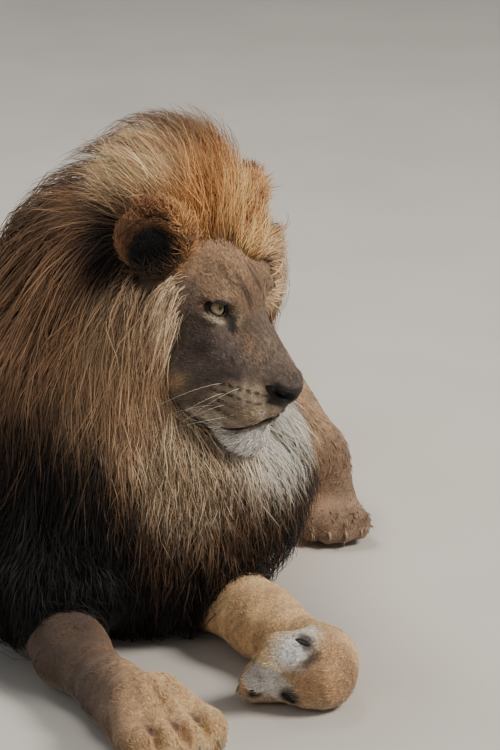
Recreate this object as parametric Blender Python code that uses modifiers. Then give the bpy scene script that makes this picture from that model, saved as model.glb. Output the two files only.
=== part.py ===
"""A life-size male lion lying on its chest, its head turned to its left and a little down.

Metres, +Z up. The lion faces -Y and its left side is +X. Its coat and mane are part of the solids, out to
the tips of the hair. The body is blended as a whole from rounded masses, set flat on the floor and
then parted with thin cuts. The head is blended on its own and let into the mane.
"""

import math

import bmesh
import bpy
from mathutils import Matrix, Vector

# ---- driving dimensions -------------------------------------------------------------------------

GAP = 0.0006  # clearance between neighbouring solids
HEAD_SEAT_GAP = 0.0032  # clearance between the head and the coarser seat for it in the mane
CHEST_X = -0.040  # where the chest's middle lies across
HIP_X = -0.060
SHOULDER_Y = 0.06
HIP_Y = 0.86
BACK_HEIGHT = 0.53  # withers above the floor
RIB_HALF_WIDTH = 0.205

BROW = Vector((0.116, -0.065, 0.503))  # midway between the eyes
HEAD_TURN = math.radians(58)  # to the lion's left of straight ahead
HEAD_NOD = math.radians(27)  # down
HEAD_TILT = math.radians(-3)  # about the muzzle's axis
FACE_COAT = 0.007  # depth of the short fur on the face
HEAD_BACK = -0.125  # the head ends flat here, inside the mane

EYE_RADIUS = 0.018
EYE_SEGMENTS, EYE_RINGS = 14, 8
EYE_CENTRE = Vector((-0.008, 0.055, 0.001))  # from the middle of the brow, in the head's directions
SOCKET_OPENING = Vector((0.020, 0.012, 0.0))  # from the eye's centre, where the lids part

BODY_VOXEL = 0.011
HEAD_VOXEL = 0.005
BODY_TRIANGLES = 2850
HEAD_TRIANGLES = 1150
HEAD_SEAT_TRIANGLES = 500
EAR_TRIANGLES = 180

SIDES = {"left": 1, "right": -1}


def head_axes():
    """The head's forward, left and up directions, as the columns of a 3x3 matrix."""
    forward = Vector((
        math.sin(HEAD_TURN) * math.cos(HEAD_NOD),
        -math.cos(HEAD_TURN) * math.cos(HEAD_NOD),
        -math.sin(HEAD_NOD),
    ))
    left = Vector((math.cos(HEAD_TURN), math.sin(HEAD_TURN), 0))
    left.rotate(Matrix.Rotation(HEAD_TILT, 3, forward))
    up = forward.cross(left)
    return Matrix((forward, left, up)).transposed()


HEAD_AXES = head_axes()


def in_head(forward, left, up):
    """A point given from the middle of the brow in the head's own directions."""
    return BROW + HEAD_AXES @ Vector((forward, left, up))


# ---- modelling tools ----------------------------------------------------------------------------

def clear_scene():
    for obj in list(bpy.data.objects):
        bpy.data.objects.remove(obj)


def new_object(name, mesh, collection):
    obj = bpy.data.objects.new(name, mesh)
    collection.objects.link(obj)
    return obj


def add_ellipsoid(bm, centre, radii, axes=None):
    """A stretched ball. Its radii run along the columns of axes."""
    turn = (axes or Matrix.Identity(3)).to_4x4()
    place = Matrix.Translation(centre) @ turn @ Matrix.Diagonal((*radii, 1))
    bmesh.ops.create_uvsphere(bm, u_segments=28, v_segments=18, radius=1, matrix=place)


def add_limb(bm, joints, radii):
    """A chain of tapered rods with a ball at every joint."""
    for joint, radius in zip(joints, radii):
        add_ellipsoid(bm, Vector(joint), (radius,) * 3)
    for start, end, r_start, r_end in zip(joints, joints[1:], radii, radii[1:]):
        start, end = Vector(start), Vector(end)
        along = end - start
        place = Matrix.Translation((start + end) / 2) @ along.to_track_quat("Z", "Y").to_matrix().to_4x4()
        bmesh.ops.create_cone(
            bm, cap_ends=True, segments=24, radius1=r_start, radius2=r_end, depth=along.length, matrix=place
        )


def smooth_path(points, steps):
    """Points along a Catmull-Rom curve through the given ones."""
    points = [Vector(p) for p in points]
    ends = [2 * points[0] - points[1], *points, 2 * points[-1] - points[-2]]
    path = []
    for a, b, c, d in zip(ends, ends[1:], ends[2:], ends[3:]):
        for step in range(steps):
            t = step / steps
            path.append(0.5 * (2 * b + (c - a) * t + (2 * a - 5 * b + 4 * c - d) * t**2
                               + (3 * b - a - 3 * c + d) * t**3))
    return [*path, points[-1]]


def frozen(obj):
    """Replaces the object's mesh with its evaluated one, so that its modifiers are applied."""
    evaluated = obj.evaluated_get(bpy.context.evaluated_depsgraph_get())
    mesh = bpy.data.meshes.new_from_object(evaluated)
    obj.modifiers.clear()
    obj.data = mesh
    return obj


def blended(name, bm, voxel, rounds, triangles, collection):
    """One closed skin over all the masses in bm, smoothed and then thinned to a number of triangles."""
    mesh = bpy.data.meshes.new(name)
    bm.to_mesh(mesh)
    bm.free()
    obj = new_object(name, mesh, collection)
    remesh = obj.modifiers.new("union", "REMESH")
    remesh.mode = "VOXEL"
    remesh.voxel_size = voxel
    smooth = obj.modifiers.new("blend", "SMOOTH")
    smooth.factor = 0.5
    smooth.iterations = rounds
    frozen(obj)
    triangulate = obj.modifiers.new("triangles", "TRIANGULATE")
    triangulate.min_vertices = 4
    frozen(obj)
    thin = obj.modifiers.new("thin", "DECIMATE")
    thin.ratio = triangles / len(obj.data.polygons)
    return frozen(obj)


def cube_cutter(name, centre, size, axes, collection):
    """A box of the given full sizes along the columns of axes."""
    bm = bmesh.new()
    place = Matrix.Translation(centre) @ (axes or Matrix.Identity(3)).to_4x4() @ Matrix.Diagonal((*size, 1))
    bmesh.ops.create_cube(bm, size=1, matrix=place)
    mesh = bpy.data.meshes.new(name)
    bm.to_mesh(mesh)
    bm.free()
    cutter = new_object(name, mesh, collection)
    cutter.hide_render = True
    cutter.display_type = "WIRE"
    return cutter


def combined(obj, cutter, operation):
    """Applies one Boolean to obj."""
    boolean = obj.modifiers.new(operation.lower(), "BOOLEAN")
    boolean.operation = operation
    boolean.solver = "EXACT"
    boolean.object = cutter
    return frozen(obj)


def grown(obj, amount, collection):
    """A hidden copy of obj, larger by amount all over."""
    copy = new_object(obj.name + "_grown", obj.data.copy(), collection)
    swell = copy.modifiers.new("grow", "DISPLACE")
    swell.mid_level = 0
    swell.strength = amount
    copy.hide_render = True
    copy.display_type = "WIRE"
    return frozen(copy)


def largest_body(obj):
    """Keeps the biggest connected part of a mesh, in case a cut left a crumb."""
    bm = bmesh.new()
    bm.from_mesh(obj.data)
    left = set(bm.verts)
    islands = []
    while left:
        island = {left.pop()}
        edge = set(island)
        while edge:
            edge = {e.other_vert(v) for v in edge for e in v.link_edges} - island
            island |= edge
        left -= island
        islands.append(island)
    keep = max(islands, key=len)
    bmesh.ops.delete(bm, geom=[v for v in bm.verts if v not in keep], context="VERTS")
    bm.to_mesh(obj.data)
    bm.free()
    return obj


def part_off(rest, name, centre, size, axes, collection, cutters):
    """Cuts the part of rest inside a box away as its own object, with the gap all round it."""
    piece = new_object(name, rest.data.copy(), collection)
    inner = cube_cutter(name + "_inner", centre, size, axes, cutters)
    combined(piece, inner, "INTERSECT")
    outer = cube_cutter(name + "_outer", centre, [side + 2 * GAP for side in size], axes, cutters)
    combined(rest, outer, "DIFFERENCE")
    return largest_body(piece)


# ---- the lion's masses --------------------------------------------------------------------------

FORELEG = {
    "right": {
        "joints": [(-0.165, 0.06, 0.22), (-0.160, -0.085, 0.064), (-0.112, -0.235, 0.056), (-0.047, -0.372, 0.052)],
        "paw": [(-0.047, -0.372, 0.052), (-0.006, -0.440, 0.052), (0.030, -0.500, 0.042)],
        "toe_spread": Vector((0.85, 0.52, 0)),
        "toe_rise": -0.008,
    },
    "left": {
        "joints": [(0.085, 0.08, 0.22), (0.078, -0.005, 0.066), (0.155, -0.130, 0.058), (0.236, -0.258, 0.055)],
        "paw": [(0.236, -0.258, 0.055), (0.226, -0.296, 0.052), (0.176, -0.300, 0.044)],
        "toe_spread": Vector((0.15, -0.75, 0.62)),
        "toe_rise": 0,
    },
}
FORELEG_RADII = [0.090, 0.067, 0.054, 0.045]
FOREPAW_RADII = [0.048, 0.054, 0.043]
HINDPAW_RADII = [0.044, 0.038, 0.036]
TOE_RADIUS = 0.0275
TOE_PITCH = 0.035
TOE_REACH = (0.018, 0.034, 0.034, 0.018)  # how far each toe stands ahead of the paw's end
HIND_TOE_SIZE = 0.72  # of the forepaw's


def add_paw(bm, path, spread, radii, rise=0, toe_size=1):
    """A broad foot along path, ending in four toes set side by side along spread."""
    add_limb(bm, path, radii)
    ahead = (Vector(path[-1]) - Vector(path[-2])).normalized()
    radius = TOE_RADIUS * toe_size
    for place, reach in enumerate(TOE_REACH):
        knuckle = Vector(path[-1]) + spread * (place - 1.5) * TOE_PITCH * toe_size
        tip = knuckle + ahead * reach * toe_size
        tip.z = max(tip.z + rise, radius - 0.003)
        knuckle.z = max(knuckle.z, radius)
        add_limb(bm, [knuckle, tip], [radius + 0.002, radius])


def hind_leg(way):
    """The folded hind leg's joints: hip, knee, hock, and the foot's line to its toes."""
    hip = (HIP_X + 0.090 * way, HIP_Y, 0.230)
    knee = (HIP_X + 0.290 * way, 0.452, 0.097)
    hock = (HIP_X + 0.242 * way, 0.762, 0.058)
    foot = [hock, (HIP_X + 0.293 * way, 0.54, 0.045), (HIP_X + 0.325 * way, 0.330, 0.036)]
    return hip, knee, hock, foot


def add_legs(bm):
    for leg in FORELEG.values():
        add_limb(bm, leg["joints"], FORELEG_RADII)
        add_paw(bm, leg["paw"], leg["toe_spread"], FOREPAW_RADII, leg["toe_rise"])
    for way in SIDES.values():
        hip, knee, hock, foot = hind_leg(way)
        add_limb(bm, [hip, knee], [0.110, 0.068])
        add_ellipsoid(bm, Vector((HIP_X + 0.140 * way, 0.70, 0.170)), (0.082, 0.235, 0.142))
        add_limb(bm, [knee, hock], [0.066, 0.046])
        add_paw(bm, foot, Vector((1, 0.12 * way, 0)), HINDPAW_RADII, toe_size=HIND_TOE_SIZE)


def add_trunk(bm):
    add_ellipsoid(bm, (CHEST_X, SHOULDER_Y + 0.12, 0.258), (0.212, 0.30, 0.265))
    add_ellipsoid(bm, (CHEST_X, 0.44, 0.246), (RIB_HALF_WIDTH, 0.34, 0.254))
    add_ellipsoid(bm, (HIP_X, 0.68, 0.226), (0.176, 0.29, 0.233))
    add_ellipsoid(bm, (HIP_X, HIP_Y + 0.02, 0.238), (0.164, 0.20, 0.218))
    add_ellipsoid(bm, (CHEST_X, SHOULDER_Y + 0.12, BACK_HEIGHT - 0.100), (0.112, 0.20, 0.100))
    for way in SIDES.values():
        add_ellipsoid(bm, (CHEST_X + 0.140 * way, SHOULDER_Y + 0.09, 0.28), (0.085, 0.165, 0.205))


TAIL_PATH = [
    (HIP_X, 1.010, 0.260), (HIP_X - 0.020, 1.105, 0.160), (-0.150, 1.165, 0.062), (-0.270, 1.140, 0.028),
    (-0.370, 1.010, 0.024), (-0.425, 0.860, 0.023), (-0.450, 0.720, 0.023),
]
TAIL_THICK, TAIL_THIN = 0.042, 0.021
TUFT_AT = Vector((-0.462, 0.635, 0.034))


def add_tail(bm):
    path = smooth_path(TAIL_PATH, 4)
    last = len(path) - 1
    radii = [TAIL_THICK + (TAIL_THIN - TAIL_THICK) * min(1, 1.6 * i / last) for i in range(last + 1)]
    add_limb(bm, path, radii)
    add_ellipsoid(bm, TUFT_AT, (0.042, 0.120, 0.036))


def add_mane(bm):
    """The long hair's outer shape: crest, ruff, cheek locks, both flanks, bib and nape."""
    add_limb(bm, [(CHEST_X, 0.16, 0.37), (-0.01, 0.09, 0.44), in_head(-0.15, 0, -0.03)], [0.18, 0.155, 0.105])
    add_ellipsoid(bm, (0.014, 0.042, 0.637), (0.128, 0.130, 0.134))
    add_ellipsoid(bm, (-0.045, 0.065, 0.600), (0.118, 0.120, 0.126))
    add_ellipsoid(bm, (-0.062, 0.090, 0.515), (0.172, 0.155, 0.162))
    add_ellipsoid(bm, in_head(-0.085, 0.092, -0.004), (0.112, 0.076, 0.092), HEAD_AXES)
    add_ellipsoid(bm, in_head(-0.090, -0.088, -0.085), (0.074, 0.056, 0.112), HEAD_AXES)
    add_ellipsoid(bm, in_head(-0.088, 0.148, -0.075), (0.088, 0.090, 0.112), HEAD_AXES)
    add_ellipsoid(bm, (-0.118, 0.055, 0.300), (0.192, 0.172, 0.270))
    add_ellipsoid(bm, (-0.145, 0.000, 0.152), (0.165, 0.150, 0.146))
    add_ellipsoid(bm, (-0.150, -0.115, 0.110), (0.125, 0.120, 0.107))
    add_ellipsoid(bm, (0.005, -0.015, 0.200), (0.185, 0.140, 0.235))
    add_ellipsoid(bm, (0.125, 0.060, 0.200), (0.115, 0.130, 0.165))
    add_ellipsoid(bm, (-0.010, 0.165, 0.560), (0.130, 0.135, 0.125))
    add_ellipsoid(bm, (CHEST_X - 0.005, 0.270, 0.420), (0.155, 0.220, 0.155))


def make_body(cutters):
    bm = bmesh.new()
    add_trunk(bm)
    add_legs(bm)
    add_tail(bm)
    add_mane(bm)
    body = blended("body", bm, BODY_VOXEL, 12, BODY_TRIANGLES, cutters)
    above = cube_cutter("above_floor", (0, 0, 1), (6, 6, 2), None, cutters)
    return combined(body, above, "INTERSECT")


# Rounded masses of the head in its own directions: centre, radii. Those off the middle are doubled.
SKULL_MASSES = [
    ((-0.118, 0, 0.002), (0.112, 0.080, 0.080)),
    ((-0.040, 0, 0.010), (0.072, 0.064, 0.037)),
    ((0.058, 0, -0.068), (0.066, 0.048, 0.046)),
    ((0.122, 0, -0.054), (0.017, 0.026, 0.018)),
    ((0.108, 0, -0.098), (0.027, 0.022, 0.027)),
    ((0.098, 0, -0.150), (0.034, 0.035, 0.025)),
]
PAIRED_MASSES = [
    ((-0.016, 0.046, 0.023), (0.032, 0.024, 0.012)),
    ((0.080, 0.029, -0.101), (0.042, 0.028, 0.036)),
    ((-0.060, 0.070, -0.070), (0.062, 0.036, 0.062)),
    ((-0.050, 0.064, -0.006), (0.048, 0.030, 0.034)),
    ((0.020, 0.042, -0.056), (0.056, 0.030, 0.040)),
    ((-0.010, 0.050, -0.092), (0.058, 0.034, 0.043)),
]
NOSE_BRIDGE = ((0.000, 0, -0.010), (0.108, 0, -0.059))
BRIDGE_RADII = (0.036, 0.028)
JAW = ((0.070, 0.020, -0.138), (-0.055, 0.055, -0.125))
JAW_RADII = (0.020, 0.036)
CHEEKBONE = ((0.010, 0.056, -0.036), (-0.085, 0.090, -0.024))
CHEEKBONE_RADII = (0.018, 0.024)


def add_coated(bm, centre, radii):
    """A mass of the head with the coat's depth added all round."""
    add_ellipsoid(bm, in_head(*centre), [radius + FACE_COAT for radius in radii], HEAD_AXES)


def add_coated_rod(bm, ends, radii, way=1):
    joints = [in_head(forward, across * way, up) for forward, across, up in ends]
    add_limb(bm, joints, [radius + FACE_COAT for radius in radii])


def make_head(cutters, collection):
    bm = bmesh.new()
    for centre, radii in SKULL_MASSES:
        add_coated(bm, centre, radii)
    add_coated_rod(bm, NOSE_BRIDGE, BRIDGE_RADII)
    for way in SIDES.values():
        for (forward, across, up), radii in PAIRED_MASSES:
            add_coated(bm, (forward, across * way, up), radii)
        add_coated_rod(bm, JAW, JAW_RADII, way)
        add_coated_rod(bm, CHEEKBONE, CHEEKBONE_RADII, way)
    head = blended("head", bm, HEAD_VOXEL, 26, HEAD_TRIANGLES, collection)
    front = in_head(HEAD_BACK + 0.5, 0, 0)
    return combined(head, cube_cutter("head_front", front, (1, 1, 1), HEAD_AXES, cutters), "INTERSECT")


def eye_centre(way):
    return in_head(EYE_CENTRE.x, EYE_CENTRE.y * way, EYE_CENTRE.z)


def make_eye(side, collection):
    bm = bmesh.new()
    place = Matrix.Translation(eye_centre(SIDES[side])) @ HEAD_AXES.to_4x4()
    bmesh.ops.create_uvsphere(bm, u_segments=EYE_SEGMENTS, v_segments=EYE_RINGS, radius=EYE_RADIUS, matrix=place)
    mesh = bpy.data.meshes.new("eye_" + side)
    bm.to_mesh(mesh)
    bm.free()
    return new_object("eye_" + side, mesh, collection)


def open_socket(head, side, cutters):
    """Cuts a snug seat for the eye and an opening in front of it."""
    way = SIDES[side]
    bm = bmesh.new()
    place = Matrix.Translation(eye_centre(way)) @ HEAD_AXES.to_4x4()
    bmesh.ops.create_uvsphere(bm, u_segments=EYE_SEGMENTS, v_segments=EYE_RINGS, radius=EYE_RADIUS + GAP, matrix=place)
    seat = new_object("socket_" + side, bpy.data.meshes.new("socket_" + side), cutters)
    bm.to_mesh(seat.data)
    bm.free()
    bm = bmesh.new()
    ahead = HEAD_AXES @ Vector((SOCKET_OPENING.x, SOCKET_OPENING.y * way, SOCKET_OPENING.z))
    add_ellipsoid(bm, eye_centre(way) + ahead, (0.020, 0.018, 0.012), HEAD_AXES)
    opening = new_object("lids_" + side, bpy.data.meshes.new("lids_" + side), cutters)
    bm.to_mesh(opening.data)
    bm.free()
    combined(head, seat, "DIFFERENCE")
    combined(head, opening, "DIFFERENCE")


EAR_ROOT = Vector((-0.096, 0.086, 0.010))
EAR_OUT = Vector((-0.25, 0.42, 0.87)).normalized()  # the ear's length, for the left one
EAR_FACING = Vector((0.50, 0.85, 0.20))
EAR_LENGTH, EAR_WIDTH, EAR_WALL = 0.120, 0.112, 0.016


def ear_axes(way):
    """Columns: the way the cup opens, across the ear, and out along it."""
    out = HEAD_AXES @ Vector((EAR_OUT.x, EAR_OUT.y * way, EAR_OUT.z))
    facing = HEAD_AXES @ Vector((EAR_FACING.x, EAR_FACING.y * way, EAR_FACING.z))
    facing = (facing - facing.project(out)).normalized()
    return Matrix((facing, out.cross(facing), out)).transposed()


def make_ear(side, cutters, collection):
    """A rounded cup, a ball with a smaller ball taken from its front, and the room it needs."""
    way = SIDES[side]
    axes = ear_axes(way)
    root = in_head(EAR_ROOT.x, EAR_ROOT.y * way, EAR_ROOT.z)
    centre = root + axes @ Vector((0, 0, EAR_LENGTH / 2))
    cup = bmesh.new()
    add_ellipsoid(cup, centre, (0.036, EAR_WIDTH / 2, EAR_LENGTH / 2), axes)
    shell = blended("ear_" + side, cup, 0.004, 1, EAR_TRIANGLES, collection)
    whole = grown(shell, GAP, cutters)
    hollow = bmesh.new()
    radii = (0.038, EAR_WIDTH / 2 - EAR_WALL * 0.62, EAR_LENGTH / 2 - EAR_WALL * 0.62)
    add_ellipsoid(hollow, centre + axes @ Vector((0.026, 0, 0.002)), radii, axes)
    inside = blended("ear_hollow_" + side, hollow, 0.004, 1, EAR_TRIANGLES, cutters)
    combined(shell, inside, "DIFFERENCE")
    return shell, whole


# ---- parting the body ---------------------------------------------------------------------------

def turned(about_z=0, about_x=0):
    """Axes turned first about X, then about Z, in degrees."""
    return Matrix.Rotation(math.radians(about_z), 3, "Z") @ Matrix.Rotation(math.radians(about_x), 3, "X")


# Each part's box: name, centre, full sizes, turns about Z and X. Earlier boxes cut first.
CUTS = [
    ("tail_tuft", (-0.467, 0.620, 0.10), (0.14, 0.27, 0.30), 0, 0),
    ("tail_end", (-0.460, 0.900, 0.10), (0.22, 0.289, 0.30), 0, 0),
    ("tail_middle", (-0.340, 1.160, 0.02), (0.28, 0.229, 0.30), 0, 0),
    ("tail_base", (-0.100, 1.250, 0.16), (0.199, 0.37, 0.44), 0, 0),
    ("forepaw_right", (0.025, -0.510, 0.08), (0.30, 0.27, 0.30), 24, 0),
    ("forearm_right", (-0.0758, -0.2841, 0.08), (0.15, 0.224, 0.30), 24, 0),
    ("forepaw_left", (0.200, -0.378, 0.08), (0.30, 0.200, 0.30), 6, 0),
    ("forearm_left", (0.200, -0.202, 0.08), (0.20, 0.150, 0.30), 6, 0),
    ("hindpaw_left", (0.277, 0.350, 0.03), (0.160, 0.34, 0.12), 4, 0),
    ("hindpaw_right", (-0.397, 0.350, 0.03), (0.160, 0.34, 0.12), -4, 0),
    ("thigh_left", (0.225, 0.710, 0.20), (0.30, 0.58, 0.56), 0, 0),
    ("thigh_right", (-0.335, 0.710, 0.20), (0.30, 0.58, 0.56), 0, 0),
    ("hips", (0, 1.130, 0.30), (0.80, 0.60, 0.80), 0, 0),
    ("loin", (0, 0.730, 0.30), (0.80, 0.199, 0.80), 0, 0),
    ("chest_mane", (0, -0.360, 0.10), (0.90, 0.80, 0.50), 0, -20),
    ("neck_mane", (0, -0.180, 0.50), (0.90, 1.00, 0.90), 0, -35),
]

# Each node's colour and roughness.
FINISHES = {
    "head": ((0.36, 0.25, 0.15), 0.75),
    "ear": ((0.30, 0.17, 0.09), 0.80),
    "eye": ((0.42, 0.27, 0.08), 0.15),
    "neck": ((0.28, 0.16, 0.08), 0.85),
    "chest_mane": ((0.06, 0.045, 0.04), 0.85),
    "tail": ((0.36, 0.22, 0.12), 0.80),
    "fore": ((0.45, 0.27, 0.14), 0.80),
    "hind": ((0.45, 0.27, 0.14), 0.80),
    "thigh": ((0.38, 0.25, 0.15), 0.80),
    "chest": ((0.38, 0.25, 0.15), 0.80),
    "loin": ((0.38, 0.25, 0.15), 0.80),
    "hips": ((0.38, 0.25, 0.15), 0.80),
}


def give_material(obj):
    colour, roughness = next(finish for start, finish in FINISHES.items() if obj.name.startswith(start))
    material = bpy.data.materials.new(obj.name)
    material.use_nodes = True
    shader = material.node_tree.nodes["Principled BSDF"]
    shader.inputs["Base Color"].default_value = (*colour, 1)
    shader.inputs["Roughness"].default_value = roughness
    shader.inputs["Metallic"].default_value = 0
    obj.data.materials.clear()
    obj.data.materials.append(material)


def new_collection(name):
    collection = bpy.data.collections.new(name)
    bpy.context.scene.collection.children.link(collection)
    return collection


def make_parts(lion, cutters):
    body = make_body(cutters)
    head = make_head(cutters, lion)
    for side in SIDES:
        _, room = make_ear(side, cutters, lion)
        combined(head, room, "DIFFERENCE")
        combined(body, room, "DIFFERENCE")
    seat = grown(head, HEAD_SEAT_GAP, cutters)
    thin = seat.modifiers.new("thin", "DECIMATE")
    thin.ratio = HEAD_SEAT_TRIANGLES / len(seat.data.polygons)
    combined(body, frozen(seat), "DIFFERENCE")
    combined(body, grown(head, GAP, cutters), "DIFFERENCE")
    largest_body(body)
    for side in SIDES:
        make_eye(side, lion)
        open_socket(head, side, cutters)
    largest_body(head)
    for name, centre, size, about_z, about_x in CUTS:
        part_off(body, name, centre, size, turned(about_z, about_x), lion, cutters)
    new_object("chest", largest_body(body).data, lion)
    bpy.data.objects.remove(body)


def set_down(parts):
    """Moves all the parts together, so that the origin is under their middle, at the floor."""
    corners = [vertex.co for part in parts for vertex in part.data.vertices]
    low = Vector([min(corner[axis] for corner in corners) for axis in range(3)])
    high = Vector([max(corner[axis] for corner in corners) for axis in range(3)])
    middle = (low + high) / 2
    for part in parts:
        part.location = (-middle.x, -middle.y, 0)


def main():
    clear_scene()
    lion = new_collection("lion")
    cutters = new_collection("cutters")
    make_parts(lion, cutters)
    for obj in cutters.objects:
        obj.hide_render = True
        obj.display_type = "WIRE"
    set_down(list(lion.objects))
    for obj in lion.objects:
        give_material(obj)


if __name__ == "__main__":
    main()
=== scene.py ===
"""A life-size male lion lying with its head turned, as a museum model.

The skin is one closed surface round blended masses. The coat is made of closed, tapered tufts that
grow from it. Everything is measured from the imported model's eyes, in metres, +Z up.
"""

import math
from functools import cache, partial
from itertools import product

import bpy
import numpy as np
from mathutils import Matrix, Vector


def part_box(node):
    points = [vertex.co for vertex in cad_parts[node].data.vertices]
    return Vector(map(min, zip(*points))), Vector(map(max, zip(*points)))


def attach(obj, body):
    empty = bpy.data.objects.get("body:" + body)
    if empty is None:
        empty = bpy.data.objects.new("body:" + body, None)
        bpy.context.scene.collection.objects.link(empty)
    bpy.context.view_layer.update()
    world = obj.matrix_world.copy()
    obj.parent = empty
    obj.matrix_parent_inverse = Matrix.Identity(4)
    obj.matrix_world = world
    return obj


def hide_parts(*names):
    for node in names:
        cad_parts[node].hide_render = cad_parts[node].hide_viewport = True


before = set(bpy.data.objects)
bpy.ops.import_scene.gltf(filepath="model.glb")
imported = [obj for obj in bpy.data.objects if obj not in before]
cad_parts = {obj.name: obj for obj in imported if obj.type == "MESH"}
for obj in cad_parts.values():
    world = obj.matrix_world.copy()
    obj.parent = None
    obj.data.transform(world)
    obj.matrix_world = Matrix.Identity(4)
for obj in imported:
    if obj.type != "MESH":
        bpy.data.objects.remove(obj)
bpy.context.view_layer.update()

bl_info = {
    "name": "Lion with a full mane",
    "version": (1, 0, 0),
    "blender": (4, 5, 0),
    "location": "View3D > Sidebar > Lion",
    "description": "Builds the skin, coat, eyes and stage of a lying lion",
    "category": "Add Mesh",
}

BODY = "root"
FLESH_NODES = [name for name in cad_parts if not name.startswith("eye_")]

# ---- where things lie ----

HEAD_TURN, HEAD_NOD, HEAD_TILT = (math.radians(angle) for angle in (58, 27, -3))
BROW = np.array((0.116, -0.065, 0.503))  # midway between the eyes, in the body's own measures
EYE_IN_HEAD = np.array((-0.008, 0.055, 0.001))
SIDES = {"left": 1, "right": -1}


def head_axes():
    """Columns: the head's forward, left and up directions."""
    forward = np.array((
        math.sin(HEAD_TURN) * math.cos(HEAD_NOD),
        -math.cos(HEAD_TURN) * math.cos(HEAD_NOD),
        -math.sin(HEAD_NOD),
    ))
    left = np.array((math.cos(HEAD_TURN), math.sin(HEAD_TURN), 0))
    left = left * math.cos(HEAD_TILT) + np.cross(forward, left) * math.sin(HEAD_TILT)
    return np.stack((forward, left, np.cross(forward, left)), 1)


HEAD = head_axes()


def box_middle(node):
    low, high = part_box(node)
    return np.array((low + high) / 2)


# The body's own measures start here in the frame: found from the middle of the two eyes.
EYES_MIDDLE = (box_middle("eye_left") + box_middle("eye_right")) / 2
HOME = EYES_MIDDLE - BROW - HEAD @ (EYE_IN_HEAD * (1, 0, 1))


def in_head(forward, left, up):
    """A point of the head, in the body's own measures."""
    return BROW + HEAD @ np.array((forward, left, up))


def to_head(points):
    """Points of the body as forward, left and up from the brow."""
    return (points - BROW) @ HEAD


def unit(vectors):
    return vectors / np.maximum(np.linalg.norm(vectors, axis=-1, keepdims=True), 1e-9)


def steepest(measure, points, step=0.004):
    """The unit direction in which a measure grows fastest."""
    slope = np.empty_like(points)
    for axis, shift in enumerate(np.eye(3) * step):
        slope[:, axis] = measure(points + shift) - measure(points - shift)
    return unit(slope)


# ---- solid shapes as distances ----

def smooth_min(a, b, blend):
    """The lesser of two distances, rounded where they differ by less than blend."""
    mix = np.clip(0.5 + 0.5 * (b - a) / blend, 0, 1)
    return b + (a - b) * mix - blend * mix * (1 - mix)


def ellipsoid(centre, radii, axes=None):
    """Distance to a stretched ball, about n(n-1)/m: n and m are the offset over the radii, once and twice."""
    centre, radii = np.asarray(centre, float), np.asarray(radii, float)
    axes = np.eye(3) if axes is None else axes

    def distance(x, y, z):
        offset = (x - centre[0], y - centre[1], z - centre[2])
        once = twice = 0
        for column, radius in zip(axes.T, radii):
            along = offset[0] * column[0] + offset[1] * column[1] + offset[2] * column[2]
            once = once + (along / radius) ** 2
            twice = twice + (along / radius**2) ** 2
        once = np.sqrt(once)
        return once * (once - 1) / np.maximum(np.sqrt(twice), 1e-6)

    reach = np.sqrt(((axes * radii) ** 2).sum(1))
    return distance, centre - reach, centre + reach


def rod(start, end, start_radius, end_radius):
    """Distance to a straight rod whose radius runs evenly from end to end."""
    start, end = np.asarray(start, float), np.asarray(end, float)
    span = end - start
    size = span @ span

    def distance(x, y, z):
        x, y, z = x - start[0], y - start[1], z - start[2]
        share = np.clip((x * span[0] + y * span[1] + z * span[2]) / size, 0, 1)
        away = np.sqrt((x - share * span[0]) ** 2 + (y - share * span[1]) ** 2 + (z - share * span[2]) ** 2)
        return away - (start_radius + (end_radius - start_radius) * share)

    widest = max(start_radius, end_radius)
    return distance, np.minimum(start, end) - widest, np.maximum(start, end) + widest


def graded(start, *stretches):
    """One axis of the grid. Each stretch is its end and its step."""
    values = [[start]]
    for end, step in stretches:
        values.append(np.linspace(start, end, max(2, round((end - start) / step) + 1))[1:])
        start = end
    return np.concatenate(values)


class Field:
    """Distances on a grid with uneven steps: less than nothing inside the body."""

    FAR = 0.08  # the distance kept away from every shape
    MARGIN = 0.035  # how far beyond its own box a shape is worked out

    def __init__(self, axes):
        self.axes = axes
        self.values = np.full([len(axis) for axis in axes], self.FAR, np.float32)

    def add(self, shape, blend, sign=1):
        """Joins a shape to the body, or with a sign of -1 takes it away."""
        distance, low, high = shape
        cuts = tuple(slice(*np.searchsorted(axis, (a - self.MARGIN, b + self.MARGIN)))
                     for axis, a, b in zip(self.axes, low, high))
        grids = np.ix_(*[axis[cut].astype(np.float32) for axis, cut in zip(self.axes, cuts)])
        here = sign * self.values[cuts]
        self.values[cuts] = sign * smooth_min(here, distance(*grids).astype(np.float32), blend)

    def carve(self, shape, blend):
        self.add(shape, blend, -1)

    def sample(self, points):
        """The distance at any points, straight between the grid's own."""
        spots = [np.clip(np.interp(points[:, i], axis, np.arange(len(axis))), 0, len(axis) - 1.001)
                 for i, axis in enumerate(self.axes)]
        cells = [spot.astype(int) for spot in spots]
        parts = [spot - cell for spot, cell in zip(spots, cells)]
        total = 0
        for corner in product((0, 1), repeat=3):
            share = 1
            for part, bit in zip(parts, corner):
                share = share * (part if bit else 1 - part)
            total = total + share * self.values[tuple(cell + bit for cell, bit in zip(cells, corner))]
        return total

    def outward(self, points):
        return steepest(self.sample, points)


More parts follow.
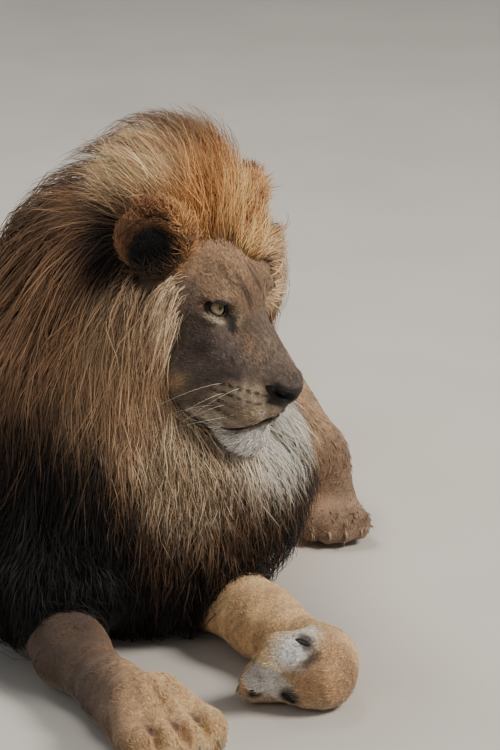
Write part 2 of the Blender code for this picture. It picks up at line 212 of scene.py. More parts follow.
def surface_net(field):
    """A closed mesh where the field is nought: a point in each crossed cell, the mean of where its
    edges are crossed, and a quad round each crossed edge of the grid."""
    values = field.values
    inside = values < 0
    cell_count = [size - 1 for size in values.shape]
    corners = list(product((0, 1), repeat=3))
    inner = np.zeros(cell_count, np.int8)
    for i, j, k in corners:
        inner += inside[i:cell_count[0] + i, j:cell_count[1] + j, k:cell_count[2] + k]
    crossed = (inner > 0) & (inner < 8)
    number = np.full(cell_count, -1, np.int64)
    cells = np.array(np.nonzero(crossed))
    number[crossed] = np.arange(cells.shape[1])
    at = {corner: values[tuple(cells[i] + corner[i] for i in range(3))] for corner in corners}
    total, hits = np.zeros((cells.shape[1], 3)), np.zeros(cells.shape[1])
    for start in corners:
        for axis in range(3):
            if start[axis]:
                continue
            end = tuple(bit + (i == axis) for i, bit in enumerate(start))
            a, b = at[start], at[end]
            hit = (a < 0) != (b < 0)
            place = np.zeros((len(a), 3)) + start
            place[:, axis] = a / np.where(hit, a - b, 1)
            total += np.where(hit[:, None], place, 0)
            hits += hit
    spots = cells.T + total / hits[:, None]
    points = np.stack([np.interp(spots[:, i], np.arange(len(axis)), axis)
                       for i, axis in enumerate(field.axes)], 1)
    faces = []
    for axis in range(3):
        b, c = (axis + 1) % 3, (axis + 2) % 3
        along = np.moveaxis(inside, axis, 0)
        first, second = (np.moveaxis(part, 0, axis) for part in (along[:-1], along[1:]))
        edges = np.array(np.nonzero(first != second))
        keep = np.all([(edges[i] > 0) & (edges[i] < values.shape[i] - 1) for i in (b, c)], 0)
        edges = edges[:, keep]
        ring = []
        for shift_b, shift_c in ((1, 1), (0, 1), (0, 0), (1, 0)):
            cell = edges.copy()
            cell[b] -= shift_b
            cell[c] -= shift_c
            ring.append(number[tuple(cell)])
        quads = np.stack(ring, 1)
        outward = first[tuple(edges)]
        faces.append(np.where(outward[:, None], quads, quads[:, ::-1]))
    return points, np.concatenate(faces)


def relaxed(points, quads, rounds):
    """Each point moved half way to its neighbours' mean, to even out the grid's steps."""
    here, there = np.concatenate([quads[:, (i, (i + 1) % 4)] for i in range(4)]).T
    count = np.bincount(here, minlength=len(points))[:, None]
    for _ in range(rounds):
        total = np.stack([np.bincount(here, points[there, i], len(points)) for i in range(3)], 1)
        points = points + (total / count - points) * 0.5
    return points


# ---- the lion's flesh ----

CHEST_X, HIP_X = -0.040, -0.060
BODY_BLEND, LIMB_BLEND, PAW_BLEND = 0.045, 0.03, 0.009
FLOOR_SKIN = 0.004  # the skin's flats lie this far above the floor, on their short coat

# Head masses in its own directions: centre, radii, blend. Those with a place across are doubled.
HEAD_MASSES = [
    ((-0.118, 0, 0.002), (0.112, 0.080, 0.080), 0.03),
    ((-0.040, 0, 0.010), (0.072, 0.064, 0.037), 0.03),
    ((-0.016, 0.046, 0.023), (0.032, 0.024, 0.012), 0.016),
    ((0.058, 0, -0.068), (0.066, 0.048, 0.046), 0.02),
    ((0.080, 0.029, -0.101), (0.043, 0.028, 0.037), 0.014),
    ((0.122, 0, -0.054), (0.019, 0.026, 0.020), 0.012),
    ((-0.010, 0, -0.080), (0.055, 0.040, 0.050), 0.020),
    ((0.108, 0, -0.098), (0.029, 0.022, 0.028), 0.012),
    ((0.098, 0, -0.150), (0.036, 0.036, 0.027), 0.012),
    ((-0.060, 0.070, -0.070), (0.062, 0.036, 0.062), 0.03),
    ((-0.050, 0.064, -0.006), (0.048, 0.030, 0.034), 0.03),
    ((0.020, 0.042, -0.056), (0.056, 0.030, 0.040), 0.025),
    ((-0.010, 0.050, -0.092), (0.058, 0.034, 0.043), 0.03),
]
# Head rods: both ends, both radii, blend.
HEAD_RODS = [
    ((0.000, 0, -0.010), (0.108, 0, -0.059), 0.036, 0.029, 0.02),
    ((0.070, 0.020, -0.138), (-0.055, 0.055, -0.125), 0.020, 0.036, 0.025),
    ((0.010, 0.056, -0.036), (-0.085, 0.090, -0.024), 0.018, 0.024, 0.02),
]
EYE_RADIUS = 0.018
EYE_OPENING = (0.70, 0.42, 0.57)  # the way the lids part, for the left eye
LID_LINE = (-0.583, 0.793, 0.177)  # from the inner corner to the outer


def sided(place, way):
    """A place or direction of the left side, or mirrored to the right."""
    return np.array(place, float) * (1, way, 1)


def both_sides(centre):
    """The sides that a mass is made on: one if it lies in the middle."""
    return SIDES.values() if centre[1] else (1,)


def head_ellipsoid(centre, radii):
    return ellipsoid(in_head(*centre), radii, HEAD)


def head_rod(start, end, start_radius, end_radius):
    return rod(in_head(*start), in_head(*end), start_radius, end_radius)


def add_head(field):
    for centre, radii, blend in HEAD_MASSES:
        for way in both_sides(centre):
            field.add(head_ellipsoid(sided(centre, way), radii), blend)
    for start, end, start_radius, end_radius, blend in HEAD_RODS:
        for way in both_sides(end):
            field.add(head_rod(sided(start, way), sided(end, way), start_radius, end_radius), blend)


def lid_axes(way):
    """Columns in the head's measures: the lids' opening, along them to the outer corner, and across."""
    ahead = unit(sided(EYE_OPENING, way))
    along = sided(LID_LINE, way)
    along = unit(along - ahead * (along @ ahead))
    across = np.cross(ahead, along)
    return np.stack((ahead, along, across if across[2] > 0 else -across), 1)


LIP_LINE = [(0.136, 0.000, -0.098), (0.130, 0.018, -0.110), (0.112, 0.038, -0.134),
            (0.086, 0.052, -0.155), (0.066, 0.059, -0.170)]
# Rods cut into the face: both ends and both radii, for one side.
FACE_CUTS = [
    ((0.143, 0.014, -0.060), (0.120, 0.020, -0.056), 0.0072, 0.0050),  # nostril
    ((0.136, 0.022, -0.066), (0.118, 0.031, -0.056), 0.0030, 0.0030),  # its slit
    *[(start, end, 0.0045, 0.0045) for start, end in zip(LIP_LINE, LIP_LINE[1:])],
]
LIP_SPLIT = ((0.140, 0, -0.074), (0.128, 0, -0.108), 0.0022, 0.0030)
CUT_BLEND = 0.004
LID_SWELL, LID_SWELL_OUT = 0.0225, 0.002  # the ball of flesh behind the lids, and how far it is set out
BROW_RIDGE, BROW_RADII = (0.004, 0.004, 0.0215), (0.020, 0.022, 0.0075)  # from the eye
SOCKET_OUT, SOCKET_RADII = 0.017, (0.0145, 0.0225, 0.0135)
EYE_GAP = 0.001  # between the eye and the flesh round it


def shape_face(field):
    """Brows, eye sockets, nostrils, the split of the upper lip and the mouth's line."""
    for way in SIDES.values():
        eye, axes = sided(EYE_IN_HEAD, way), lid_axes(way)
        field.add(head_ellipsoid(eye + axes[:, 0] * LID_SWELL_OUT, (LID_SWELL,) * 3), 0.012)
        field.add(head_ellipsoid(eye + sided(BROW_RIDGE, way), BROW_RADII), 0.010)
        socket = ellipsoid(in_head(*(eye + axes[:, 0] * SOCKET_OUT)), SOCKET_RADII, HEAD @ axes)
        field.carve(socket, 0.005)
        field.carve(head_ellipsoid(eye, (EYE_RADIUS + EYE_GAP,) * 3), EYE_GAP)
        for start, end, *radii in FACE_CUTS:
            field.carve(head_rod(sided(start, way), sided(end, way), *radii), CUT_BLEND)
    field.carve(head_rod(*LIP_SPLIT), CUT_BLEND)


EAR_ROOT = (-0.096, 0.086, 0.012)
EAR_OUT = (-0.25, 0.42, 0.87)
EAR_FACING = (0.50, 0.85, 0.20)
EAR_LENGTH, EAR_WIDTH, EAR_DEPTH = 0.114, 0.106, 0.062
EAR_HOLLOW = 0.024  # how far the hollow's ball is set out
EAR_WALLS = (-0.004, 0.0062, 0.0066)  # how much less it is than the ear


def ear_frame(way):
    """The ear's middle and its axes: the way the cup opens, across it, and out along it."""
    out = unit(HEAD @ sided(EAR_OUT, way))
    facing = HEAD @ sided(EAR_FACING, way)
    facing = unit(facing - out * (facing @ out))
    axes = np.stack((facing, np.cross(out, facing), out), 1)
    return in_head(*sided(EAR_ROOT, way)) + out * EAR_LENGTH / 2, axes


def add_ears(field):
    """Each ear is a ball with a smaller one taken from its front, thin at the rim."""
    for way in SIDES.values():
        middle, axes = ear_frame(way)
        radii = np.array((EAR_DEPTH, EAR_WIDTH, EAR_LENGTH)) / 2
        field.add(ellipsoid(middle, radii, axes), 0.012)
        field.carve(ellipsoid(middle + axes[:, 0] * EAR_HOLLOW, radii - EAR_WALLS, axes), 0.003)


# Forelegs: shoulder to elbow to wrist, then the paw's line and the way its toes are set side by side.
FORELEGS = {
    "right": {
        "arm": [(-0.165, 0.06, 0.22), (-0.160, -0.085, 0.058), (-0.112, -0.235, 0.050),
                (-0.047, -0.372, 0.046)],
        "paw": [(-0.047, -0.372, 0.046), (-0.006, -0.440, 0.046), (0.030, -0.500, 0.038)],
        "spread": (0.85, 0.52, 0),
    },
    "left": {
        "arm": [(0.085, 0.08, 0.22), (0.078, -0.005, 0.062), (0.155, -0.130, 0.052), (0.236, -0.258, 0.050)],
        "paw": [(0.236, -0.258, 0.050), (0.226, -0.296, 0.048), (0.176, -0.300, 0.040)],
        "spread": (0.10, -0.52, 0.85),
    },
}
ARM_RADII = (0.082, 0.060, 0.048, 0.038)
PAW_RADII, HINDPAW_RADII = (0.042, 0.050, 0.030), (0.036, 0.032, 0.024)
TOE_RADIUS, TOE_PITCH = 0.0255, 0.0350
TOE_REACH = (0.022, 0.038, 0.038, 0.022)
KNUCKLE_BACK, TOE_ARCH = 0.006, 0.005  # knuckles behind the paw's end, and the middle joints' rise
TIP_PAST, TIP_DROP = 0.004, 0.006  # the tips, past the reach and under the knuckles
HIND_TOE_SIZE = 0.72  # of the forepaw's


def add_chain(field, points, radii, blend, sign=1):
    """Rods from point to point."""
    for ends in zip(points, points[1:], radii, radii[1:]):
        field.add(rod(*ends), blend, sign)


def paw_ways(path, spread):
    """Ahead along the paw and up from its back."""
    ahead = unit(np.array(path[-1]) - np.array(path[-2]))
    lift = unit(np.cross(ahead, spread))
    return ahead, lift * (1 if lift[2] > 0 else -1)


def toes(path, spread, size):
    """Each toe's knuckle, middle joint and tip, arched a little over the paw's end."""
    end = np.array(path[-1])
    ahead, lift = paw_ways(path, spread)
    for place, reach in enumerate(TOE_REACH):
        knuckle = end + np.array(spread) * (place - 1.5) * TOE_PITCH * size - ahead * KNUCKLE_BACK
        middle = knuckle + ahead * reach * 0.55 * size + lift * TOE_ARCH
        tip = knuckle + ahead * (reach + TIP_PAST) * size - lift * TIP_DROP
        for joint in (knuckle, middle, tip):
            joint[2] = max(joint[2], TOE_RADIUS * size - 0.002)
        yield knuckle, middle, tip


def paws():
    """Every paw's line, the way its toes are set side by side, its radii and its toes' size."""
    fore = [(leg["paw"], leg["spread"], PAW_RADII, 1.0) for leg in FORELEGS.values()]
    return fore + [(hind_leg(way)[3], (1, 0.12 * way, 0), HINDPAW_RADII, HIND_TOE_SIZE)
                   for way in SIDES.values()]


# Grooves between the toes: heights over the toes' middle line and radii, from the paw's back to the tips.
GROOVE_LIFT = np.array((0.027, 0.0285, 0.0275, 0.020))[:, None]
GROOVE_RADII = (0.003, 0.0085, 0.0095, 0.008)


def add_paw(field, path, spread, radii, size):
    add_chain(field, path, radii, LIMB_BLEND)
    radius = TOE_RADIUS * size
    _, lift = paw_ways(path, spread)
    lines = []
    for knuckle, middle, tip in toes(path, spread, size):
        back = (knuckle - path[-1]) * 0.6 + path[-2] + lift * (radii[-2] - radius * 0.84)
        lines.append(np.array((back, knuckle + lift * 0.004, middle, tip)))
        add_chain(field, lines[-1], (radius * 0.85, radius, radius * 1.04, radius * 0.78), PAW_BLEND)
    for one, other in zip(lines, lines[1:] if size == 1 else ()):
        add_chain(field, (one + other) / 2 + lift * GROOVE_LIFT, GROOVE_RADII, 0.006, -1)


HIP_RADIUS, KNEE_RADIUS, HOCK_RADIUS = 0.098, 0.058, 0.036
THIGH_RADII, HEEL_RADII, SHANK_BLEND = (0.070, 0.226, 0.130), (0.034, 0.030), 0.02


def hind_leg(way):
    """Hip, knee, hock and the foot's line."""
    hip = (HIP_X + 0.090 * way, 0.86, 0.230)
    knee = (HIP_X + 0.290 * way, 0.450, 0.092)
    hock = (HIP_X + 0.240 * way, 0.760, 0.052)
    foot = [hock, (HIP_X + 0.292 * way, 0.54, 0.037), (HIP_X + 0.324 * way, 0.330, 0.026)]
    return hip, knee, hock, foot


def add_legs(field):
    for leg in FORELEGS.values():
        add_chain(field, leg["arm"], ARM_RADII, LIMB_BLEND)
    for paw in paws():
        add_paw(field, *paw)
    for way in SIDES.values():
        hip, knee, hock, foot = hind_leg(way)
        field.add(rod(hip, knee, HIP_RADIUS, KNEE_RADIUS), BODY_BLEND)
        field.add(ellipsoid((HIP_X + 0.140 * way, 0.70, 0.165), THIGH_RADII), BODY_BLEND)
        field.add(rod(knee, hock, KNEE_RADIUS, HOCK_RADIUS), SHANK_BLEND)
        heel = (hock[0], hock[1] + 0.020, hock[2])
        field.add(rod(heel, foot[1], *HEEL_RADII), SHANK_BLEND)


# Chest, belly, loins, rump, withers and both shoulders: centre and radii.
TRUNK_MASSES = [
    ((CHEST_X, 0.18, 0.258), (0.203, 0.29, 0.256)),
    ((CHEST_X, 0.44, 0.246), (0.196, 0.33, 0.246)),
    ((HIP_X, 0.68, 0.226), (0.166, 0.28, 0.224)),
    ((HIP_X, 0.88, 0.238), (0.155, 0.19, 0.208)),
    ((CHEST_X, 0.18, 0.430), (0.100, 0.19, 0.090)),
    *[((CHEST_X + 0.140 * way, 0.15, 0.28), (0.076, 0.155, 0.196)) for way in SIDES.values()],
]
NECK_PATH = [(CHEST_X, 0.16, 0.37), (-0.01, 0.09, 0.44), in_head(-0.15, 0, -0.03)]
NECK_RADII = (0.140, 0.122, 0.092)


def add_trunk(field):
    for centre, radii in TRUNK_MASSES:
        field.add(ellipsoid(centre, radii), BODY_BLEND)
    add_chain(field, NECK_PATH, NECK_RADII, BODY_BLEND)


TAIL_PATH = [
    (HIP_X, 1.010, 0.260), (HIP_X - 0.020, 1.105, 0.160), (-0.150, 1.165, 0.062), (-0.270, 1.140, 0.028),
    (-0.370, 1.010, 0.024), (-0.425, 0.860, 0.023), (-0.450, 0.720, 0.023), (-0.460, 0.640, 0.025),
]


def tail_line(steps=5):
    """Points on a smooth curve through the tail's own."""
    points = np.array(TAIL_PATH)
    ends = np.vstack((2 * points[0] - points[1], points, 2 * points[-1] - points[-2]))
    line = []
    for a, b, c, d in zip(ends, ends[1:], ends[2:], ends[3:]):
        for t in np.arange(steps) / steps:
            line.append(0.5 * (2 * b + (c - a) * t + (2 * a - 5 * b + 4 * c - d) * t**2
                               + (3 * b - a - 3 * c + d) * t**3))
    return np.array([*line, points[-1]])


TAIL_RADIUS, TAIL_ROOT = 0.017, 0.019  # along most of it, and how much more at its root


def add_tail(field):
    line = tail_line()
    radii = TAIL_RADIUS + TAIL_ROOT * np.clip(1 - 1.7 * np.linspace(0, 1, len(line)), 0, 1)
    add_chain(field, line, radii, SHANK_BLEND)


MANE_MASSES = [
    ((0.008, 0.044, 0.629), (0.120, 0.130, 0.127)),
    ((-0.060, 0.065, 0.575), (0.115, 0.120, 0.106)),
    ((-0.062, 0.090, 0.515), (0.172, 0.155, 0.162)),
    ((-0.118, 0.055, 0.300), (0.192, 0.172, 0.270)),
    ((-0.145, 0.000, 0.152), (0.165, 0.150, 0.146)),
    ((-0.150, -0.115, 0.110), (0.125, 0.120, 0.104)),
    ((0.005, -0.015, 0.200), (0.185, 0.140, 0.235)),
    ((0.125, 0.060, 0.200), (0.115, 0.130, 0.158)),
    ((-0.010, 0.165, 0.560), (0.130, 0.135, 0.125)),
    ((CHEST_X - 0.005, 0.270, 0.420), (0.155, 0.220, 0.155)),
    (in_head(-0.085, 0.092, -0.004), (0.112, 0.076, 0.092), HEAD),
    (in_head(-0.112, 0.112, 0.056), (0.048, 0.054, 0.052), HEAD),
    (in_head(-0.088, 0.148, -0.075), (0.088, 0.090, 0.112), HEAD),
    (in_head(-0.090, -0.088, -0.085), (0.074, 0.056, 0.112), HEAD),
]
MANE_BLEND = 0.05


def mane_depth(points):
    """How far points lie outside the mane's outer shape. Less than nothing is inside it."""
    total = np.full(len(points), 1.0)
    for mass in MANE_MASSES:
        total = smooth_min(total, ellipsoid(*mass)[0](*points.T), MANE_BLEND)
    return total


def mane_outward(points):
    return steepest(mane_depth, points)


MANE_COAT = 0.036  # the locks' depth over the bed they grow from


def add_mane_bed(field):
    """The skin bulges under the mane to within the locks' depth of its outer shape."""
    for mass in MANE_MASSES:
        distance, low, high = ellipsoid(*mass)
        field.add((lambda x, y, z: distance(x, y, z) + MANE_COAT, low, high), LIMB_BLEND)


def fill_diagonals(values):
    """Fills every corner of the grid where flesh would meet flesh only across a diagonal."""
    for _ in range(8):
        for pair in ((0, 1), (0, 2), (1, 2)):
            turned = np.moveaxis(values, pair, (0, 1))
            solid = turned < 0
            a, b, c, d = solid[:-1, :-1], solid[1:, 1:], solid[1:, :-1], solid[:-1, 1:]
            turned[1:, :-1][a & b & ~c & ~d] = -1e-5
            turned[:-1, :-1][c & d & ~a & ~b] = -1e-5


@cache
def flesh():
    """The whole body's field, worked out once, on a grid that is finest round the face."""
    field = Field((
        graded(-0.50, (-0.070, 0.0110), (0.222, 0.0039), (0.332, 0.0068)),
        graded(-0.60, (-0.168, 0.0062), (0.120, 0.0039), (1.21, 0.0150)),
        graded(-0.010, (0.130, 0.0058), (0.300, 0.0090), (0.585, 0.0039), (0.76, 0.0090)),
    ))
    for add in (add_trunk, add_legs, add_tail, add_mane_bed, add_head, add_ears, shape_face):
        add(field)
    height = field.axes[2].astype(np.float32)[None, None, :]
    field.values = -smooth_min(-field.values, height - FLOOR_SKIN, FLOOR_SKIN)
    fill_diagonals(field.values)
    return field


def largest_part(points, quads):
    """The biggest joined piece of a mesh: every corner takes the least number met along its faces."""
    label, before = np.arange(len(points)), None
    while before is None or (label != before).any():
        before = label.copy()
        np.minimum.at(label, quads.ravel(), np.repeat(label[quads].min(1), 4))
        label = label[label]
    keep = label == np.bincount(label).argmax()
    return points[keep], (np.cumsum(keep) - 1)[quads[keep[quads[:, 0]]]]


@cache
def skin_surface():
    """The skin's points and faces, in the body's own measures."""
    points, quads = largest_part(*surface_net(flesh()))
    return relaxed(points, quads, 2), quads


# ---- putting arrays into meshes ----

def linear(colour):
    """Screen colours, 0 to 255, as light."""
    colour = np.asarray(colour, float) / 255
    return np.where(colour <= 0.04045, colour / 12.92, ((colour + 0.055) / 1.055) ** 2.4)


def put_mesh(name, points, loops, starts, colours=None, uv=None, values=None):
    """An object at the origin from flat arrays, with its place in its mesh."""
    mesh = bpy.data.meshes.new(name)
    mesh.vertices.add(len(points))
    mesh.vertices.foreach_set("co", (points + HOME).astype(np.float32).ravel())
    mesh.loops.add(len(loops))
    mesh.loops.foreach_set("vertex_index", loops.astype(np.int32))
    mesh.polygons.add(len(starts))
    mesh.polygons.foreach_set("loop_start", starts.astype(np.int32))
    mesh.update(calc_edges=True)
    if mesh.validate():
        raise RuntimeError(f"{name} had faces that could not be kept")
    if colours is not None:
        layer = mesh.color_attributes.new("coat", "FLOAT_COLOR", "POINT")
        layer.data.foreach_set("color", np.c_[colours, np.ones(len(colours))].astype(np.float32).ravel())
    for key, value in (values or {}).items():
        mesh.attributes.new(key, "FLOAT", "POINT").data.foreach_set("value", value.astype(np.float32))
    if uv is not None:
        layer = mesh.uv_layers.new(name="OFBake")
        layer.uv.foreach_set("vector", uv[loops].astype(np.float32).ravel())
    mesh.polygons.foreach_set("use_smooth", np.ones(len(starts), bool))
    piece = bpy.data.objects.new(name, mesh)
    bpy.context.scene.collection.objects.link(piece)
    return piece


def settle(piece, slot, material, *replaced):
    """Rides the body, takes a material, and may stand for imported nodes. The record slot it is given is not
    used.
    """
    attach(piece, BODY)
    if replaced:
        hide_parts(*replaced)
    piece.data.materials.append(material)
    return piece


def even_faces(faces):
    """Faces that all have the same number of corners, as loops and starts."""
    return faces.ravel(), np.arange(len(faces)) * faces.shape[1]


def grid_faces(rows, columns, wrap=True):
    """Quads of a grid of points whose columns go round."""
    row, column = np.meshgrid(np.arange(rows - 1), np.arange(columns if wrap else columns - 1), indexing="ij")
    row, column = row.ravel(), column.ravel()
    after = (column + 1) % columns
    return np.stack((row * columns + column, row * columns + after,
                     (row + 1) * columns + after, (row + 1) * columns + column), 1)


def closed_grid(rings):
    """Quads round the rings, with the first and last ring closed by a fan to its mean point."""
    rows, columns, _ = rings.shape
    points = np.vstack((rings.reshape(-1, 3), rings[0].mean(0), rings[-1].mean(0)))
    quads = grid_faces(rows, columns)
    here = np.arange(columns)
    after = (here + 1) % columns
    first = np.stack((after, here, np.full(columns, rows * columns)), 1)
    last = np.stack(((rows - 1) * columns + here, (rows - 1) * columns + after,
                     np.full(columns, rows * columns + 1)), 1)
    fans = np.concatenate((first, last))
    starts = np.concatenate((np.arange(len(quads)) * 4, quads.size + np.arange(len(fans)) * 3))
    return points, np.concatenate((quads.ravel(), fans.ravel())), starts


def ease(value, low, high):
    """0 below low, 1 above high, and smooth between."""
    t = np.clip((value - low) / (high - low), 0, 1)
    return t * t * (3 - 2 * t)


def near(points, centre, radii):
    """1 in the middle of a stretched ball, 0 from its surface outwards."""
    away = np.sqrt((((points - np.asarray(centre)) / np.asarray(radii)) ** 2).sum(-1))
    return 1 - ease(away, 0.45, 1.0)


def layered(colour, layers):
    """Tints laid over a colour in order, each by its own amount at every point."""
    colour = np.asarray(colour, float)
    for tint, amount in layers:
        colour = colour + (np.asarray(tint, float) - colour) * amount[:, None]
    return colour


def marks(points, listed):
    """Soft round marks as layers. Each is listed as its tint, share, middle and half sizes."""
    return [(tint, share * near(points, middle, radii)) for tint, share, middle, radii in listed]


def folded(head):
    """Places on the head with the right side laid on the left."""
    return head * (1, 0, 1) + np.abs(head) * (0, 1, 0)


def head_near(head):
    """True on the head and close round it."""
    return near(head, (0, 0, -0.04), (0.22, 0.24, 0.24)) > 0


def crease(points, start, end, width):
    """1 on the straight line from start to end, 0 from its width outwards."""
    way = np.subtract(end, start)
    t = np.clip((points - start) @ way / (way @ way), 0, 1)
    return 1 - ease(np.linalg.norm(points - start - t[:, None] * way, axis=1), 0.3 * width, width)


def ripple(points, scale, seed=0):
    """Soft, seeded unevenness from -1 to 1: a sum of sines whose directions are drawn at random."""
    draw = np.random.default_rng(seed)
    total = 0
    for _ in range(6):
        wave = draw.normal(size=3) / scale
        total = total + np.sin(points @ wave + draw.uniform(0, 6.28))
    return np.clip(total / 2.6, -1, 1)


# ---- markings, with painted light and shade, the same for skin and coat ----

TAIL_TUFT = np.array((-0.462, 0.640, 0.030))

# The forelegs' tan is made lighter by painted sunlight.
TAWNY, FLANK, PALE, SUNLIT_LEG = (184, 144, 102), (152, 124, 96), (216, 196, 168), (250, 200, 144)
FOREHEAD, BRIDGE, CHEEK, MUZZLE = (154, 122, 92), (116, 98, 82), (114, 96, 82), (184, 162, 134)
CHIN, EYE_RIM, EYE_PATCH, LEATHER = (244, 238, 228), (34, 25, 21), (224, 206, 178), (12, 10, 11)
EAR_CUP_DARK_AND_SHADE, EAR_RIM, MOUTH_LINE_AND_SHADE = (16, 13, 12), (146, 98, 58), (40, 28, 26)
CREST, GOLD, SIDEBURN, STRAW = (184, 126, 72), (226, 174, 114), (188, 156, 122), (204, 184, 154)
# SUNLIT_CREAM: the chest's cream hair lightened by painted sunlight.
DARK, SUNLIT_CREAM, TUFT_DARK = (14, 12, 13), (246, 230, 208), (44, 32, 26)

PALM_WHITE = (252, 246, 236)
PALM_WHITES = [(0.192, -0.335, 0.092), (0.152, -0.340, 0.054), (0.166, -0.346, 0.030), (0.204, -0.300, 0.092)]
# Painted shade along the creases of the upturned paw.
PALM_CREASE_SHADE = [(0.225, -0.335, 0.088), (0.190, -0.360, 0.066), (0.160, -0.356, 0.052)]
# Bare pads that show on the upturned left paw: middle, the way they face, and half their sizes.
PALM_PADS = [
    ((0.208, -0.325, 0.100), (-0.10, -0.80, 0.60), 0.012, 0.005),
    ((0.141, -0.320, 0.026), (-0.55, -0.80, 0.20), 0.009, 0.005),
    ((0.186, -0.340, 0.024), (-0.10, -0.95, 0.10), 0.014, 0.006),
]


def whisker_spots():
    """Rows of whisker roots on one side of the upper lip, in the head's measures."""
    for row in range(4):
        for place in range(6 - row // 2):
            yield (0.115 - 0.0112 * place - 0.003 * row, 0.036 + 0.0055 * place,
                   -0.068 - 0.0150 * row - 0.0022 * place)


# Marks on the cheeks and eye corners, darker by their own grey-brown and by painted shade of the face's
# shaded side, then on brow, bridge, muzzle and lips, with painted shade in the brow's creases, for one side
# of the head.
CHEEK_TONES_AND_SHADE = [
    ((98, 84, 76), 0.8, (0.030, 0.070, -0.060), (0.080, 0.05, 0.055)),
    ((72, 56, 48), 0.85, (-0.004, 0.088, -0.034), (0.050, 0.04, 0.050)),
]
FACE_MARKS_AND_CREASE_SHADE = [
    ((154, 126, 96), 0.7, (-0.010, 0.040, 0.034), (0.03, 0.018, 0.02)),
    # The next two: painted shade in the crease between the eye and the bridge, and in the crease above the
    # eye.
    ((92, 68, 50), 0.8, (0.004, 0.018, 0.030), (0.045, 0.008, 0.04)),
    ((104, 80, 60), 0.7, (-0.022, 0.034, 0.044), (0.030, 0.007, 0.03)),
    ((74, 60, 54), 0.8, (0.066, 0.060, -0.062), (0.024, 0.024, 0.0055)),
    ((112, 92, 76), 0.7, (-0.040, 0.085, 0.010), (0.03, 0.03, 0.04)),
    ((166, 134, 100), 0.7, (-0.005, 0.080, -0.110), (0.04, 0.03, 0.035)),
    (BRIDGE, 1, (0.060, 0.0, -0.018), (0.085, 0.034, 0.04)),
    ((126, 98, 74), 0.6, (0.040, 0.034, -0.020), (0.06, 0.018, 0.03)),
    (MUZZLE, 1, (0.089, 0.039, -0.092), (0.064, 0.044, 0.046)),
    ((204, 184, 158), 0.8, (0.128, 0.020, -0.098), (0.024, 0.024, 0.026)),
    ((214, 196, 170), 0.9, (0.060, 0.045, -0.150), (0.055, 0.035, 0.022)),
]
# Marks round the left eye, in its lids' measures: pale below and above, then the corners and the tear line.
EYE_MARKS = [
    (EYE_PATCH, 0.85, (0.016, -0.001, -0.0145), (0.02, 0.026, 0.0078)),
    (EYE_PATCH, 0.35, (0.016, 0.004, 0.019), (0.02, 0.022, 0.008)),
    ((92, 68, 52), 0.6, (0.014, 0.026, 0.002), (0.015, 0.014, 0.007)),
    ((196, 172, 138), 0.45, (0.016, -0.040, -0.004), (0.018, 0.006, 0.016)),
    ((36, 26, 24), 0.9, (0.014, -0.028, -0.008), (0.018, 0.010, 0.009)),
    ((36, 26, 24), 0.9, (0.014, -0.034, -0.018), (0.018, 0.010, 0.009)),
]


def face_colour(head):
    """The face's markings from its own measures, with painted shade on the cheeks, in the brow's creases and
    along the mouth, the same on both sides.
    """
    ahead, across, up = head.T
    side = folded(head)
    lid = (side - EYE_IN_HEAD) @ lid_axes(1)
    lip_ahead, _, lip_up = np.array(LIP_LINE[::-1]).T
    under = ease(np.interp(ahead, lip_ahead, lip_up) - up, -0.001, 0.006) * ease(ahead, 0.050, 0.080)
    chin = np.maximum(under, near(side, (0.098, 0.0, -0.163), (0.078, 0.064, 0.037)))
    spots = [((50, 36, 30), 0.9, spot, (0.0056, 0.016, 0.0038)) for spot in whisker_spots()]
    flat = np.sqrt((lid[:, 1] / 0.0185) ** 2 + ((lid[:, 2] - 0.0005) / 0.0102) ** 2)
    mouth = []
    # Along the mouth's line: the lips' dark edge, made wide by painted shade in the mouth's crease.
    for start, end in zip(LIP_LINE, LIP_LINE[1:]):
        middle = (np.array(start) + np.array(end)) / 2
        gap = np.linalg.norm(side - middle - (0.002, 0.001, 0), axis=1)
        level = ease(0.010 - np.abs(up - middle[2]), 0.002, 0.007)
        mouth.append((MOUTH_LINE_AND_SHADE, 0.9 * (1 - ease(gap, 0.005, 0.0115)) * level))
    pad = (ease(ahead + 1.15 * np.abs(across), 0.1340, 0.1380) * ease(up, -0.081, -0.077)
           * ease(-up, 0.042, 0.047) * ease(-np.abs(across), -0.033, -0.029) * ease(ahead, 0.102, 0.106))
    return layered(CHEEK, [
        *marks(side, CHEEK_TONES_AND_SHADE),
        (FOREHEAD, ease(up, -0.012, 0.035)),
        *marks(side, FACE_MARKS_AND_CREASE_SHADE),
        (CHIN, chin),
        *marks(side, [((228, 214, 192), 0.6, (0.094, 0.045, -0.130), (0.060, 0.035, 0.009)), *spots]),
        *marks(lid, EYE_MARKS),
        (EYE_RIM, (1 - ease(flat, 0.98, 1.12)) * ease(lid[:, 0], 0.0, 0.008)),
        *mouth,
        (LEATHER, pad),
    ])


def mane_share(head):
    """1 where the mane grows, 0 on the face: behind the brow and cheeks, and all below the jaw."""
    ahead, across, up = head.T
    edge = -0.024 - 0.012 * ease(up, 0.0, 0.06) + 0.035 * ease(-up, 0.120, 0.170)
    edge = edge + 0.012 * ease(-up, 0.045, 0.075)
    behind = ease(edge - ahead, -0.008, 0.012)
    below = ease(-0.170 - up + 0.30 * np.clip(0.07 - ahead, 0, 0.08), -0.004, 0.010)
    beside = ease(np.abs(across) - 0.35 * np.clip(0.06 - ahead, 0, 0.1), 0.076, 0.084)
    return np.maximum(np.maximum(behind, below), beside * ease(-up, 0.095, 0.110))


def by_ear(points):
    """The points in each ear's measures, and how far each lies towards the brow."""
    for way in SIDES.values():
        middle, axes = ear_frame(way)
        local = (points - middle) @ axes
        yield local, local[..., 1] * (1 if axes[:, 1] @ HEAD[:, 0] > 0 else -1)


